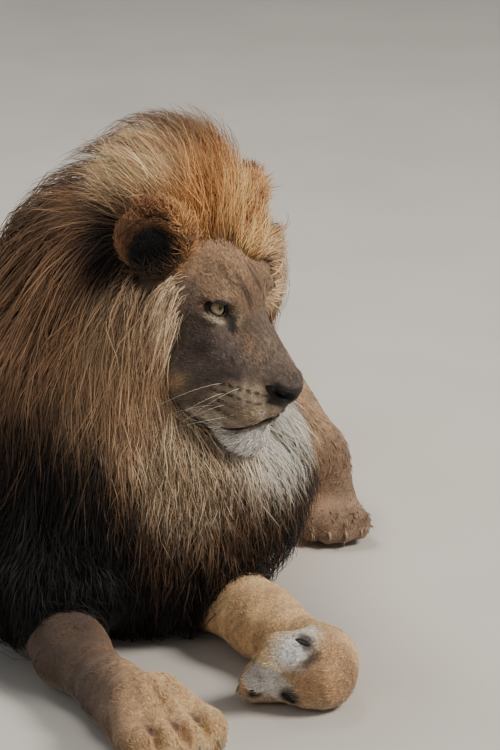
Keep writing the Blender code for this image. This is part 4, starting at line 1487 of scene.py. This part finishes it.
# Then in the body's measures.
BODY_FLOW = [
    ((0.047, -0.121, 0.525), (-0.04, 0.0, -1.0)), ((0.000, -0.120, 0.490), (-0.02, -0.05, -1.0)),
    ((-0.019, -0.116, 0.440), (0.04, -0.05, -1.0)), ((-0.004, -0.100, 0.380), (0.08, -0.06, -1.0)),
    ((0.056, -0.040, 0.310), (0.12, -0.10, -1.0)), ((-0.085, -0.080, 0.520), (-0.16, 0.0, -0.98)),
    (in_head(-0.02, 0.095, 0.005), HEAD @ np.array((0.5, 0.8, -0.15))),
    (in_head(-0.03, 0.100, 0.040), HEAD @ np.array((0.35, 0.75, 0.45))),
    ((0.108, 0.061, 0.490), (0.25, 0.15, -0.95)), ((0.090, 0.065, 0.420), (0.12, 0.10, -0.98)),
    ((-0.010, 0.190, 0.580), (-0.10, 0.80, -0.25)), ((-0.040, 0.300, 0.470), (0.0, 0.90, -0.35)),
    ((-0.190, 0.080, 0.520), (-0.28, 0.15, -0.94)), ((-0.150, 0.150, 0.600), (-0.65, 0.45, -0.50)),
    ((0.110, 0.180, 0.480), (0.35, 0.45, -0.85)), ((-0.240, 0.020, 0.350), (-0.16, 0.0, -1.0)),
    ((-0.250, 0.000, 0.150), (-0.06, -0.10, -1.0)), ((-0.100, -0.120, 0.300), (-0.05, -0.12, -1.0)),
    ((0.000, -0.150, 0.200), (0.0, -0.12, -1.0)), ((0.150, -0.080, 0.250), (0.14, -0.10, -1.0)),
    ((0.230, 0.060, 0.300), (0.22, 0.05, -1.0)), ((-0.260, 0.180, 0.300), (-0.15, 0.35, -0.95)),
    ((0.180, 0.180, 0.300), (0.15, 0.40, -0.95)),
]


@cache
def mane_guides():
    guides = [(place, unit(np.array(way))) for place, way in BODY_FLOW] + [*head_guides(CREST_FLOW)]
    return [np.array(column) for column in zip(*guides)]


def mane_flow(points):
    """The mane's direction at any place, blended from the listed ones."""
    return blended_lie(points, *mane_guides(), MANE_SPREAD)


def on_ears(points):
    return ear_share(points) > 0.3


def off_ears(points):
    return ear_share(points) < 0.3


def mane_need(points):
    """1 where the skin lies well inside the mane's outer shape and behind the face."""
    head, inside = to_head(points), -mane_depth(points)
    on_head = mane_share(head) * ease(inside, -0.030, -0.010)
    return np.where(head_near(head), on_head, ease(inside, 0.004, 0.020)) * off_ears(points)


OFF_SKIN, OFF_FLOOR = 0.005, 0.0015  # how far guides keep off the skin, and locks off the floor
LOCKS_PER_GUIDE, GUIDE_REACH = 5, 0.035  # and the furthest that a lock may stand from its guide
WAVE = 0.0040  # how far a lock swings to either side


def grown(roots, lengths, rise, joints, stray, room):
    """Each lock's line. Step by step it goes the way the mane flows there, to and fro across that by its
    own stray sine, climbs to its own depth under the mane's outer shape, and is kept within its room of
    that, out of the flesh and off the floor."""
    body = flesh()
    normals = body.outward(roots)
    place, depth = roots, mane_depth(roots)
    first, heading = np.minimum(depth, -0.008), unit(normals * 0.9 + mane_flow(roots))
    line = [roots - normals * 0.003]
    step = lengths / (joints - 1)
    for joint in range(1, joints):
        t = joint / (joints - 1)
        out, flow = mane_outward(place), mane_flow(place)
        flow = unit(flow - out * (flow * out).sum(1, keepdims=True))
        sway = stray * np.cos(4.2 * t + 2.4 * np.arange(len(roots)))
        flow = unit(flow + np.cross(out, flow) * sway[:, None])
        aim = first * (1 - rise * ease(t, -0.1, 0.75)) + room * t
        climb = np.clip((aim - mane_depth(place)) / step, -0.9, 0.9)
        heading = unit(heading * 0.40 + unit(flow + out * climb[:, None]) * 0.60)
        place = place + heading * step[:, None]
        over = np.clip(mane_depth(place) - 0.006 * rise - room, 0, 0.05)
        place = place - mane_outward(place) * over[:, None]
        for _ in range(2):
            push = np.clip(OFF_SKIN - body.sample(place), 0, 0.03)
            place = place + body.outward(place) * push[:, None]
        place[:, 2] = np.maximum(place[:, 2], OFF_SKIN)
        line.append(place)
    return np.stack(line, 1)


def dark_height(points):
    """The height below which the mane is dark."""
    x, y, _ = points.T
    low = np.interp(x, (-0.15, -0.08, -0.02, 0.06, 0.12, 0.20), (0.295, 0.270, 0.150, 0.108, 0.145, 0.185))
    return low + (0.31 - low) * ease(y, 0.05, 0.16)


# Places on the mane with a colour of their own, some lightened by painted sunlight on the crest, the
# sideburn, the far fringe and the front of the chest, and the last a painted shadow on dark hair behind the
# near ear: middle, reach and colour.
MANE_TINTS_AND_PAINTED_LIGHT = [
    ((-0.172, -0.066, 0.465), (0.11, 0.12, 0.16), (184, 144, 110)),
    ((-0.159, -0.003, 0.607), (0.09, 0.10, 0.07), (172, 130, 92)),
    ((-0.060, -0.120, 0.360), (0.10, 0.11, 0.10), (206, 170, 134)),
    ((-0.045, -0.034, 0.702), (0.12, 0.11, 0.08), (255, 216, 168)),
    ((0.125, 0.000, 0.630), (0.08, 0.10, 0.09), (255, 204, 142)),
    ((0.028, -0.132, 0.500), (0.040, 0.05, 0.11), (250, 218, 182)),
    ((0.180, 0.010, 0.500), (0.06, 0.12, 0.12), (252, 214, 172)),
    ((0.206, -0.016, 0.280), (0.09, 0.12, 0.11), (255, 250, 238)),
    ((-0.068, -0.074, 0.580), (0.028, 0.06, 0.060), (20, 15, 13)),
]


def mane_colour(points, along, tone):
    """Gold on the crest, straw down the cheeks, brown behind, nearly black low on the chest; with painted
    sunlight on the crest and far side, and painted shade behind the ears and towards the roots.
    """
    side = folded(to_head(points))
    crest = near(side, (-0.05, 0.0, 0.10), (0.20, 0.15, 0.16))
    cheek = near(side, (-0.080, 0.115, -0.110), (0.11, 0.085, 0.17))
    hang = near(points, (0.015, -0.100, 0.330), (0.115, 0.15, 0.19))
    straw = near(points, (0.050, -0.120, 0.265), (0.10, 0.15, 0.15))
    strength = 0.82 + 0.18 * np.clip(tone, -1, 1)
    dark = ease(dark_height(points) + 0.085 * tone - points[:, 2], -0.040, 0.030)
    tips = ease(along, 0.6, 1.0) * near(side, (-0.06, 0.0, 0.22), (0.12, 0.08, 0.07))
    colour = layered((114, 86, 64), [
        ((186, 150, 112), 0.75 * ease(tone, -0.1, 0.8)),
        (CREST, crest),
        (GOLD, crest * ease(tone, -0.6, 0.7)),
        (SIDEBURN, 0.95 * np.maximum(cheek, hang)),
        (STRAW, straw * ease(tone, -0.9, 0.3)),
        # The front of the chest: cream hair, made lighter by painted sunlight.
        (SUNLIT_CREAM, near(points, (0.165, -0.050, 0.300), (0.10, 0.14, 0.15))),
        # Behind the ears: darker brown hair and painted shade.
        ((70, 48, 36), 0.8 * near(side, (-0.175, 0.125, -0.010), (0.07, 0.075, 0.085))),
        # Own tints, painted sunlight and the painted shadow behind the near ear.
        *[(tint, near(points, middle, reach) * strength) for middle, reach, tint in MANE_TINTS_AND_PAINTED_LIGHT],
        (DARK, 0.97 * dark),
        ((84, 62, 46), 0.7 * tips),
    ])
    # Darker towards each lock's root as painted shade deep in the mane, and lighter or darker by each lock's
    # tone.
    return colour * (0.68 + 0.32 * ease(along, 0, 0.35) + 0.10 * tone)[:, None]


def nearest(points, others):
    """Which of the others lies nearest to each point."""
    size = (others**2).sum(1)
    chunks = np.array_split(points, len(points) // 4000 + 1)
    return np.concatenate([(size - 2 * chunk @ others.T).argmin(1) for chunk in chunks])


def through_ear(lines):
    """True for locks that would cross an ear's cup."""
    radii = (0.050, EAR_WIDTH / 2 + 0.004, EAR_LENGTH / 2 + 0.002)
    left, right = (((((local - (0.022, 0, 0.006)) / radii) ** 2).sum(-1) < 1).any(1)
                   for local, _ in by_ear(lines))
    return left | right


def mane_locks(name, count, zone, length, seed, axis, slot="mane_hair", spread=0.009, room=0.0, joints=5):
    """Locks that share a few hundred guiding lines: each keeps its own root, draws in towards its
    guide as it runs out, and waves across it with its own stray bend."""
    guides, draw = scattered(max(40, count // LOCKS_PER_GUIDE), lambda p: mane_need(p) * zone(p), seed)
    lengths = length * draw.uniform(0.70, 1.08, len(guides))
    lengths = lengths * (0.55 + 0.45 * ease(-to_head(guides)[:, 0], 0.015, 0.060))
    rise, stray = draw.uniform(0.2, 1.0, len(guides)), draw.normal(0, 0.34, len(guides))
    ways = grown(guides, lengths, rise, joints, stray, room)
    keep = ~through_ear(ways[:, 1:])
    guides, ways = guides[keep], ways[keep]
    guide_tone = draw.normal(0, 0.38, len(guides)) + 0.55 * ripple(guides, 0.007, 9)
    roots, draw = scattered(count, lambda p: mane_need(p) * zone(p), seed + 1)
    mine = nearest(roots, guides)
    close = np.linalg.norm(roots - guides[mine], axis=1) < GUIDE_REACH
    roots, mine = roots[close], mine[close]
    offset, count = roots - guides[mine], len(roots)
    t = np.linspace(0, 1, joints)
    spot = draw.uniform(0.65, 1.0, (count, 1)) * t[None] * (joints - 1)
    cell = np.minimum(spot.astype(int), joints - 2)
    part = (spot - cell)[..., None]
    path = ways[mine]
    row = np.arange(count)[:, None]
    lines = path[row, cell] * (1 - part) + path[row, cell + 1] * part
    draw_in = draw.uniform(0.1, 0.85, (count, 1, 1))
    lines = lines + offset[:, None] * (1 - draw_in * t[None, :, None] ** 1.2)
    ahead = unit(np.gradient(lines, axis=1))
    out = mane_outward(lines[:, joints // 2])
    side = unit(np.cross(ahead, out[:, None]))
    pace, phase = draw.uniform(1.5, 4.5, (count, 1)), draw.uniform(0, 6.28, (count, 1))
    swing = np.sin(pace * t[None] * 2.4 + phase) - np.sin(phase)
    bend = spread * draw.standard_t(3, (count, 1)).clip(-4, 4) * t[None] ** 1.3
    lines = lines + side * (bend + WAVE * swing * t[None])[..., None]
    lift = spread * 0.7 * draw.normal(0.1, 1, (count, 1)) * t[None] ** 1.5
    lines = lines + out[:, None] * lift[..., None]
    keep = ~through_ear(lines[:, 1:])
    lines, out, mine = lines[keep], out[keep], mine[keep]
    count = len(lines)
    most = room + np.where(draw.random(count) < 0.06, 0.012, draw.uniform(-0.014, 0.0, count))
    flat = lines.reshape(-1, 3)
    over = np.clip(mane_depth(flat) - np.repeat(most, joints), 0, 0.06)
    lines = (flat - mane_outward(flat) * over[:, None]).reshape(lines.shape)
    lines[..., 2] = np.maximum(lines[..., 2], OFF_FLOOR)
    width = bpy.context.scene.lion_coat.lock_width * (length / 0.2) ** 0.5
    widths = tapered(t[None], width * draw.uniform(0.5, 1.4, count))
    tone = np.clip(guide_tone[mine] + draw.normal(0, 0.40, count), -1.3, 1.3)
    colours = mane_colour(lines.reshape(-1, 3), np.tile(t, count), np.repeat(tone, joints))
    colours = colours.reshape(count, joints, 3) * draw.normal(1, 0.09, (count, 1, 1))
    material = coat_material("Mane locks", 240, 0.14, 0.50, sheen=0.03)
    return tuft_piece(name, lines, widths, out, colours, axis, slot, material)


def face_edge(points):
    """The soft line where the short coat of the face becomes mane."""
    head = to_head(points)
    return mane_share(head - (0.006, 0, 0)) * (1 - mane_share(head + (0.022, 0, 0.004)))


def body_zone(centre, radii, points):
    """A soft zone round a place in the body's measures."""
    return np.exp(-(((points - np.array(centre)) / np.array(radii)) ** 2).sum(1))


def head_zone(centre, radii, points):
    return body_zone(centre, radii, to_head(points))


NECK_AXIS = (in_head(-0.12, 0, -0.25), in_head(-0.12, 0, 0.2))
CHEST_AXIS = ((CHEST_X, 0.1, 0.0), (CHEST_X, 0.1, 0.6))
# Name: locks, zone with its middle and reach, length, the unwrap's axis, then what differs from most pieces.
MANE_PIECES = {
    "mane_crest": (8600, head_zone, (-0.07, 0, 0.06), (0.10, 0.09, 0.06), 0.135, NECK_AXIS, {}),
    "mane_wisps": (500, head_zone, (-0.07, 0, 0.11), (0.05, 0.06, 0.03), 0.155, NECK_AXIS,
                   {"spread": 0.014, "room": 0.022, "joints": 6}),
    "mane_cheek_right": (7400, head_zone, (-0.07, -0.10, -0.07), (0.07, 0.06, 0.09), 0.240, NECK_AXIS, {}),
    "mane_cheek_left": (3200, head_zone, (-0.05, 0.10, -0.05), (0.07, 0.06, 0.09), 0.200, NECK_AXIS, {}),
    "mane_nape": (4000, body_zone, (-0.03, 0.20, 0.52), (0.16, 0.14, 0.14), 0.150, CHEST_AXIS, {}),
    "mane_side": (6400, body_zone, (-0.20, 0.05, 0.42), (0.10, 0.16, 0.14), 0.240, CHEST_AXIS, {}),
    "mane_throat": (5000, body_zone, (0.06, -0.06, 0.30), (0.13, 0.12, 0.08), 0.210, CHEST_AXIS, {}),
    "mane_chest": (7200, body_zone, (-0.09, -0.08, 0.21), (0.22, 0.16, 0.12), 0.230, CHEST_AXIS,
                   {"slot": "dark_hair"}),
    "mane_far_side": (2200, body_zone, (0.12, 0.14, 0.30), (0.12, 0.14, 0.16), 0.180, CHEST_AXIS, {}),
    "mane_fringe": (4800, face_edge, None, None, 0.064, NECK_AXIS,
                    {"spread": 0.008, "room": 0.004, "joints": 4}),
    "mane_far_fringe": (2000, head_zone, (-0.03, 0.095, 0.01), (0.03, 0.04, 0.05), 0.085, NECK_AXIS,
                        {"spread": 0.010, "room": 0.004, "joints": 4}),
}


class LION_OT_mane(bpy.types.Operator):
    """The mane's locks, zone by zone."""
    bl_idname = "lion.mane"
    bl_label = "Mane"

    def execute(self, context):
        longer = context.scene.lion_coat.mane_length
        for number, (name, details) in enumerate(MANE_PIECES.items()):
            count, zone, middle, reach, length, axis, unlike = details
            zone = partial(zone, middle, reach) if middle else zone
            mane_locks(name, count, zone, length * longer, 11 + 10 * number, axis, **unlike)
        return {"FINISHED"}


# ---- short coat ----

def on_face(points):
    """1 on the face, without the open eyes and the nose's leather."""
    head = to_head(points)
    side = folded(head)
    ahead, across, up = side.T
    lid = (side - EYE_IN_HEAD) @ lid_axes(1)
    eye = (np.sqrt((lid[:, 1] / 0.0215) ** 2 + (lid[:, 2] / 0.0135) ** 2) < 1) & (lid[:, 0] > 0)
    nose = (ahead + 1.15 * across > 0.134) & (up > -0.088) & (up < -0.040)
    return head_near(head) * (1 - mane_share(head)) * ~eye * ~nose * off_ears(points)


def on_chin(points):
    head = to_head(points)
    return on_face(points) * near(head, (0.088, 0, -0.160), (0.055, 0.055, 0.026))


def on_ear_rim(points):
    """The front edge of each ear and the cup's lower front, where the fur is long."""
    share = 0
    for local, forward in by_ear(points):
        front = ease(forward, 0.014, 0.034) * ease(local[:, 0], -0.022, -0.004)
        rim = ease(ear_round(local, 0.047, 0.052), 0.78, 0.92) * (local[:, 0] > -0.018)
        front = np.maximum(front, 0.7 * rim * ease(forward, -0.040, 0.0))
        share = np.maximum(share, front * (np.abs(local).max(1) < 0.075))
    return share * on_ears(points)


def on_back(points):
    _, y, z = points.T
    off_mane = (1 - mane_need(points)) * ~head_near(to_head(points))
    return ease(y, 0.12, 0.22) * off_mane * (z > 0.02) * (y < 1.04)


def on_foreleg(way, points):
    x, y, z = points.T
    return ease(mane_depth(points), -0.03, 0.0) * (y < 0.10) * (z < 0.26) * (way * (x - 0.062) > 0)


def on_hind_leg(way, points):
    x, y, z = points.T
    return ((y > 0.33) & (y < 1.0) & (z < 0.30) & (z > 0.012) & (way * (x - HIP_X) > 0.10)) * 1.0


def on_tail(points):
    away = np.linalg.norm(points[:, None] - tail_line(2)[None], axis=2).min(1)
    return (away < 0.055) & (points[:, 1] > 0.5)


def on_tail_end(points):
    return near(points, TAIL_TUFT + (0.004, 0.03, 0), (0.06, 0.10, 0.06))


BODY_AXIS = ((CHEST_X, 0.0, 0.24), (CHEST_X, 1.1, 0.24))
ARM_AXIS = {side: (leg["arm"][0], leg["paw"][-1]) for side, leg in FORELEGS.items()}
HIND_AXIS = {side: ((HIP_X + 0.25 * way, 0.95, 0.12), (HIP_X + 0.30 * way, 0.38, 0.05))
             for side, way in SIDES.items()}
TAIL_AXIS = ((-0.10, 1.18, 0.06), (-0.46, 0.60, 0.03))


class LION_OT_face_fur(bpy.types.Operator):
    """Small tufts on the face, a white beard on the chin, and the ears' fur."""
    bl_idname = "lion.face_fur"
    bl_label = "Face and ear fur"

    def execute(self, context):
        length = context.scene.lion_coat.face_fur
        short_tufts("face_fur", 11000, on_face, length, 0.0014, 0.22, 101, NECK_AXIS, uneven=0.12)
        short_tufts("chin_fur", 1200, on_chin, length * 2.1, 0.0016, 0.55, 102, NECK_AXIS, joints=4)
        short_tufts("ear_fur", 2400, on_ears, length * 1.3, 0.0015, 0.45, 103, NECK_AXIS, "ear_fur")
        short_tufts("ear_rim_fur", 2200, on_ear_rim, length * 3.0, 0.0015, 0.75, 104, NECK_AXIS, "ear_fur",
                    joints=4, frizz=0.65)
        return {"FINISHED"}


class LION_OT_body_fur(bpy.types.Operator):
    """Tufts on back, legs and tail, longer at the tail's end."""
    bl_idname = "lion.body_fur"
    bl_label = "Body fur"

    def execute(self, context):
        length = context.scene.lion_coat.body_fur
        short_tufts("back_fur", 6500, on_back, length, 0.0024, 0.14, 111, BODY_AXIS, "body_fur")
        for seed, (side, way) in enumerate(SIDES.items()):
            short_tufts(f"foreleg_fur_{side}", 3600, partial(on_foreleg, way), length * 0.60, 0.0016, 0.13,
                        121 + seed, ARM_AXIS[side], "body_fur")
            short_tufts(f"hind_leg_fur_{side}", 2200, partial(on_hind_leg, way), length * 0.7, 0.0019, 0.13,
                        131 + seed, HIND_AXIS[side], "body_fur")
        short_tufts("tail_fur", 1500, on_tail, length * 0.8, 0.0022, 0.20, 141, TAIL_AXIS, "body_fur")
        short_tufts("tail_tuft_fur", 700, on_tail_end, length * 2.9, 0.0026, 0.22, 142, TAIL_AXIS,
                    "dark_hair", joints=6)
        return {"FINISHED"}


# ---- whiskers and nose ----

def cast(centre, ways, reach, rounds=40):
    """Where rays from a place inside first meet the skin, coming from the reach inwards."""
    gone = np.full(len(ways), reach)
    for _ in range(rounds):
        gone = gone - np.clip(flesh().sample(centre + ways * gone[:, None]), 0, 0.01)
    return centre + ways * gone[:, None]


def cast_head(centre, spots, reach):
    """Places on the skin, seen from a centre inside the head towards spots in its measures."""
    return cast(in_head(*centre), unit((spots - np.array(centre)) @ HEAD.T), reach)


WHISKER_JOINTS, WHISKER_WIDTH, WHISKER_COLOUR = 9, 0.00075, (236.0, 230.0, 218.0)


class LION_OT_whiskers(bpy.types.Operator):
    """White whiskers: from the rows on the lip, out and swept back with a droop of t squared."""
    bl_idname = "lion.whiskers"
    bl_label = "Whiskers"

    def execute(self, context):
        longest = context.scene.lion_coat.whisker_length
        draw = np.random.default_rng(151)
        t = np.linspace(0, 1, WHISKER_JOINTS)
        for side, way in SIDES.items():
            spots = np.array([sided(spot, way) for spot in whisker_spots()])
            roots = cast_head((0.062, 0.0, -0.088), spots, 0.08)[spots[:, 0] < 0.086][::2]
            count = len(roots)
            size = longest * draw.uniform(0.45, 1.0, count) * np.linspace(0.7, 1.0, 3)[np.arange(count) % 3]
            start = unit(np.stack((draw.uniform(-0.7, -0.2, count), np.full(count, way * 1.0),
                                   draw.uniform(-0.45, 0.10, count)), 1)) @ HEAD.T
            sweep = unit(np.stack((draw.uniform(-1.0, -0.6, count), way * draw.uniform(0.0, 0.5, count),
                                   draw.uniform(-0.95, -0.35, count)), 1)) @ HEAD.T
            lines = (roots[:, None] + size[:, None, None] * (start[:, None] * (t - 0.35 * t**2)[None, :, None]
                     + sweep[:, None] * (0.75 * t**2)[None, :, None]))
            lines[..., 2] -= (draw.uniform(0.10, 0.45, count) * size)[:, None] * t[None] ** 2
            widths = np.tile(WHISKER_WIDTH * (1 - 0.75 * t), (count, 1))
            colours = np.tile(WHISKER_COLOUR, (count, len(t), 1))
            out = np.tile(HEAD[:, 2], (count, 1))
            axis = (in_head(0.06, 0, -0.09), in_head(0.06, 0.1 * way, -0.09))
            material = coat_material("Whisker", 200, 0.05, 0.35)
            tuft_piece(f"whiskers_{side}", lines, widths, out, colours, axis, "face_fur", material)
        return {"FINISHED"}


def swept(path, radii):
    """Rings of ten points of a circle carried along a path, as wide at each place as the radii say."""
    ahead = unit(np.gradient(path, axis=0))
    across = unit(np.cross(ahead, (0.21, 0.13, 0.97)))
    spoke = round_ways(turns(10), across[:, None], np.cross(ahead, across)[:, None])
    return path[:, None] + spoke * radii[:, None, None]


def together(parts):
    """Several closed meshes as one set of flat arrays."""
    joined, done, used = [], 0, 0
    for points, loops, starts in parts:
        joined.append((points, loops + done, starts + used))
        done, used = done + len(points), used + len(loops)
    return [np.concatenate(arrays) for arrays in zip(*joined)]


LIP_STEPS, LIP_RADIUS = 60, 0.0026
CLAW_LENGTH, CLAW_RADIUS, CLAW_HOOK = 0.017, 0.0046, 0.018


class LION_OT_lips(bpy.types.Operator):
    """The dark edge of the lips, a tube laid along the mouth's line on the skin."""
    bl_idname = "lion.lips"
    bl_label = "Lips"

    def execute(self, context):
        line = np.array([sided(place, -1) for place in LIP_LINE[-2:0:-1]] + LIP_LINE[:-1])
        t = np.linspace(0, len(line) - 1, LIP_STEPS)
        spots = np.stack([np.interp(t, np.arange(len(line)), column) for column in line.T], 1)
        path = cast_head((0.060, 0, -0.122), spots, 0.085)
        path[1:-1] = (path[:-2] + path[1:-1] * 2 + path[2:]) / 4
        radii = LIP_RADIUS * np.sin(np.linspace(0.12, math.pi - 0.12, LIP_STEPS)) ** 0.4
        lips = put_mesh("lips", *closed_grid(swept(path, radii)))
        settle(lips, "nose_leather", leather_material())
        return {"FINISHED"}


class LION_OT_claws(bpy.types.Operator):
    """Claws drawn in to their sheaths: hooked cones that show a tip at each toe."""
    bl_idname = "lion.claws"
    bl_label = "Claws"

    def execute(self, context):
        t = np.linspace(0, 1, 9)[:, None]
        parts = []
        for path, spread, _, size in paws():
            ahead, lift = paw_ways(path, spread)
            for _, _, tip in toes(path, spread, size):
                start = tip + (ahead * 0.008 + lift * 0.011) * size
                line = start + (ahead * CLAW_LENGTH * t + lift * (0.005 * t - CLAW_HOOK * t**2)) * size
                parts.append(closed_grid(swept(line, CLAW_RADIUS * size * (1 - t[:, 0] ** 1.6) + 0.0003)))
        claws = put_mesh("claws", *together(parts))
        settle(claws, "claw_horn", plain_material("Claw horn", (150, 132, 108), 0.35, 220, 0.0003))
        return {"FINISHED"}


PAD_DOME, PAD_SINK, PAD_DEPTH = 0.0032, 0.0012, 0.007  # the rise, how far the edge is sunk, and the back


class LION_OT_pads(bpy.types.Operator):
    """The bare pads of the upturned paw: discs laid on the skin, domed by 1 less r squared."""
    bl_idname = "lion.pads"
    bl_label = "Paw pads"

    def execute(self, context):
        r, turn, parts = np.linspace(0, 1, 9)[1:], turns(28), []
        for middle, facing, half_long, half_wide in PALM_PADS:
            out = unit(np.array(facing))
            along = unit(np.cross(out, (0.3, 1.0, 0.1)))
            disc = r[:, None, None] * round_ways(turn, along * half_long, np.cross(out, along) * half_wide)
            flat = (np.array(middle) - out * 0.03 + disc).reshape(-1, 3)
            skin = cast(flat, np.tile(out, (len(flat), 1)), 0.09, rounds=30).reshape(disc.shape)
            front = skin + out * (PAD_DOME * (1 - r**2) - PAD_SINK)[:, None, None]
            parts.append(closed_grid(np.concatenate((front, skin[::-1] - out * PAD_DEPTH))))
        pads = put_mesh("paw_pads", *together(parts))
        settle(pads, "nose_leather", leather_material())
        return {"FINISHED"}


NOSE_DOME, NOSE_SINK, NOSE_DEPTH = 0.0012, 0.0003, 0.004  # as for the pads


def nose_surface():
    """The leather over the nose: rays from inside, turned up to 62 degrees left and right, and up and down
    within a band that climbs towards the wings, domed by 1 less r to the fourth."""
    r, turn, widest = np.linspace(0.0, 1.0, 22)[1:], turns(72), math.radians(62)
    across = widest * r[:, None] * np.cos(turn)[None]
    wing = np.abs(across) / widest
    middle, half = np.radians(-9 + 16 * wing), np.radians(19 - 9 * wing)
    up = middle + half * r[:, None] * np.sin(turn)[None]
    ways = np.stack((np.cos(up) * np.cos(across), np.cos(up) * np.sin(across), np.sin(up)), -1)
    ways = ways @ HEAD.T
    skin = cast(in_head(0.085, 0, -0.060), ways.reshape(-1, 3), 0.075).reshape(ways.shape)
    rise = NOSE_DOME * (1 - r**4) - NOSE_SINK
    return np.concatenate((skin + rise[:, None, None] * ways, skin[::-1] - NOSE_DEPTH * ways[::-1]))


class LION_OT_nose(bpy.types.Operator):
    """The wet, pebbled leather of the nose."""
    bl_idname = "lion.nose"
    bl_label = "Nose"

    def execute(self, context):
        nose = put_mesh("nose", *closed_grid(nose_surface()))
        settle(nose, "nose_leather", leather_material())
        return {"FINISHED"}




class LION_PT_panel(bpy.types.Panel):
    """Lists the pieces and their sizes."""
    bl_idname = "LION_PT_panel"
    bl_label = "Lion"
    bl_space_type = "VIEW_3D"
    bl_region_type = "UI"
    bl_category = "Lion"

    def draw(self, context):
        for group in (context.scene.lion_coat, context.scene.lion_stage):
            for key in group.__annotations__:
                self.layout.prop(group, key)
        for operator in OPERATORS:
            self.layout.operator(operator.bl_idname)


SETTINGS = {"lion_coat": LionCoatSettings, "lion_stage": LionStageSettings}
OPERATORS = (LION_OT_skin, LION_OT_eyes, LION_OT_lids, LION_OT_nose, LION_OT_lips, LION_OT_whiskers,
             LION_OT_claws, LION_OT_pads, LION_OT_face_fur, LION_OT_body_fur, LION_OT_mane, LION_OT_stage)


def register():
    for cls in (*SETTINGS.values(), *OPERATORS, LION_PT_panel):
        bpy.utils.register_class(cls)
    for name, cls in SETTINGS.items():
        setattr(bpy.types.Scene, name, bpy.props.PointerProperty(type=cls))


def unregister():
    for name in SETTINGS:
        delattr(bpy.types.Scene, name)
    for cls in (LION_PT_panel, *reversed(OPERATORS), *SETTINGS.values()):
        bpy.utils.unregister_class(cls)


def main():
    register()
    for operator in OPERATORS:
        getattr(bpy.ops.lion, operator.bl_idname.split(".")[1])()


if __name__ == "__main__":
    main()
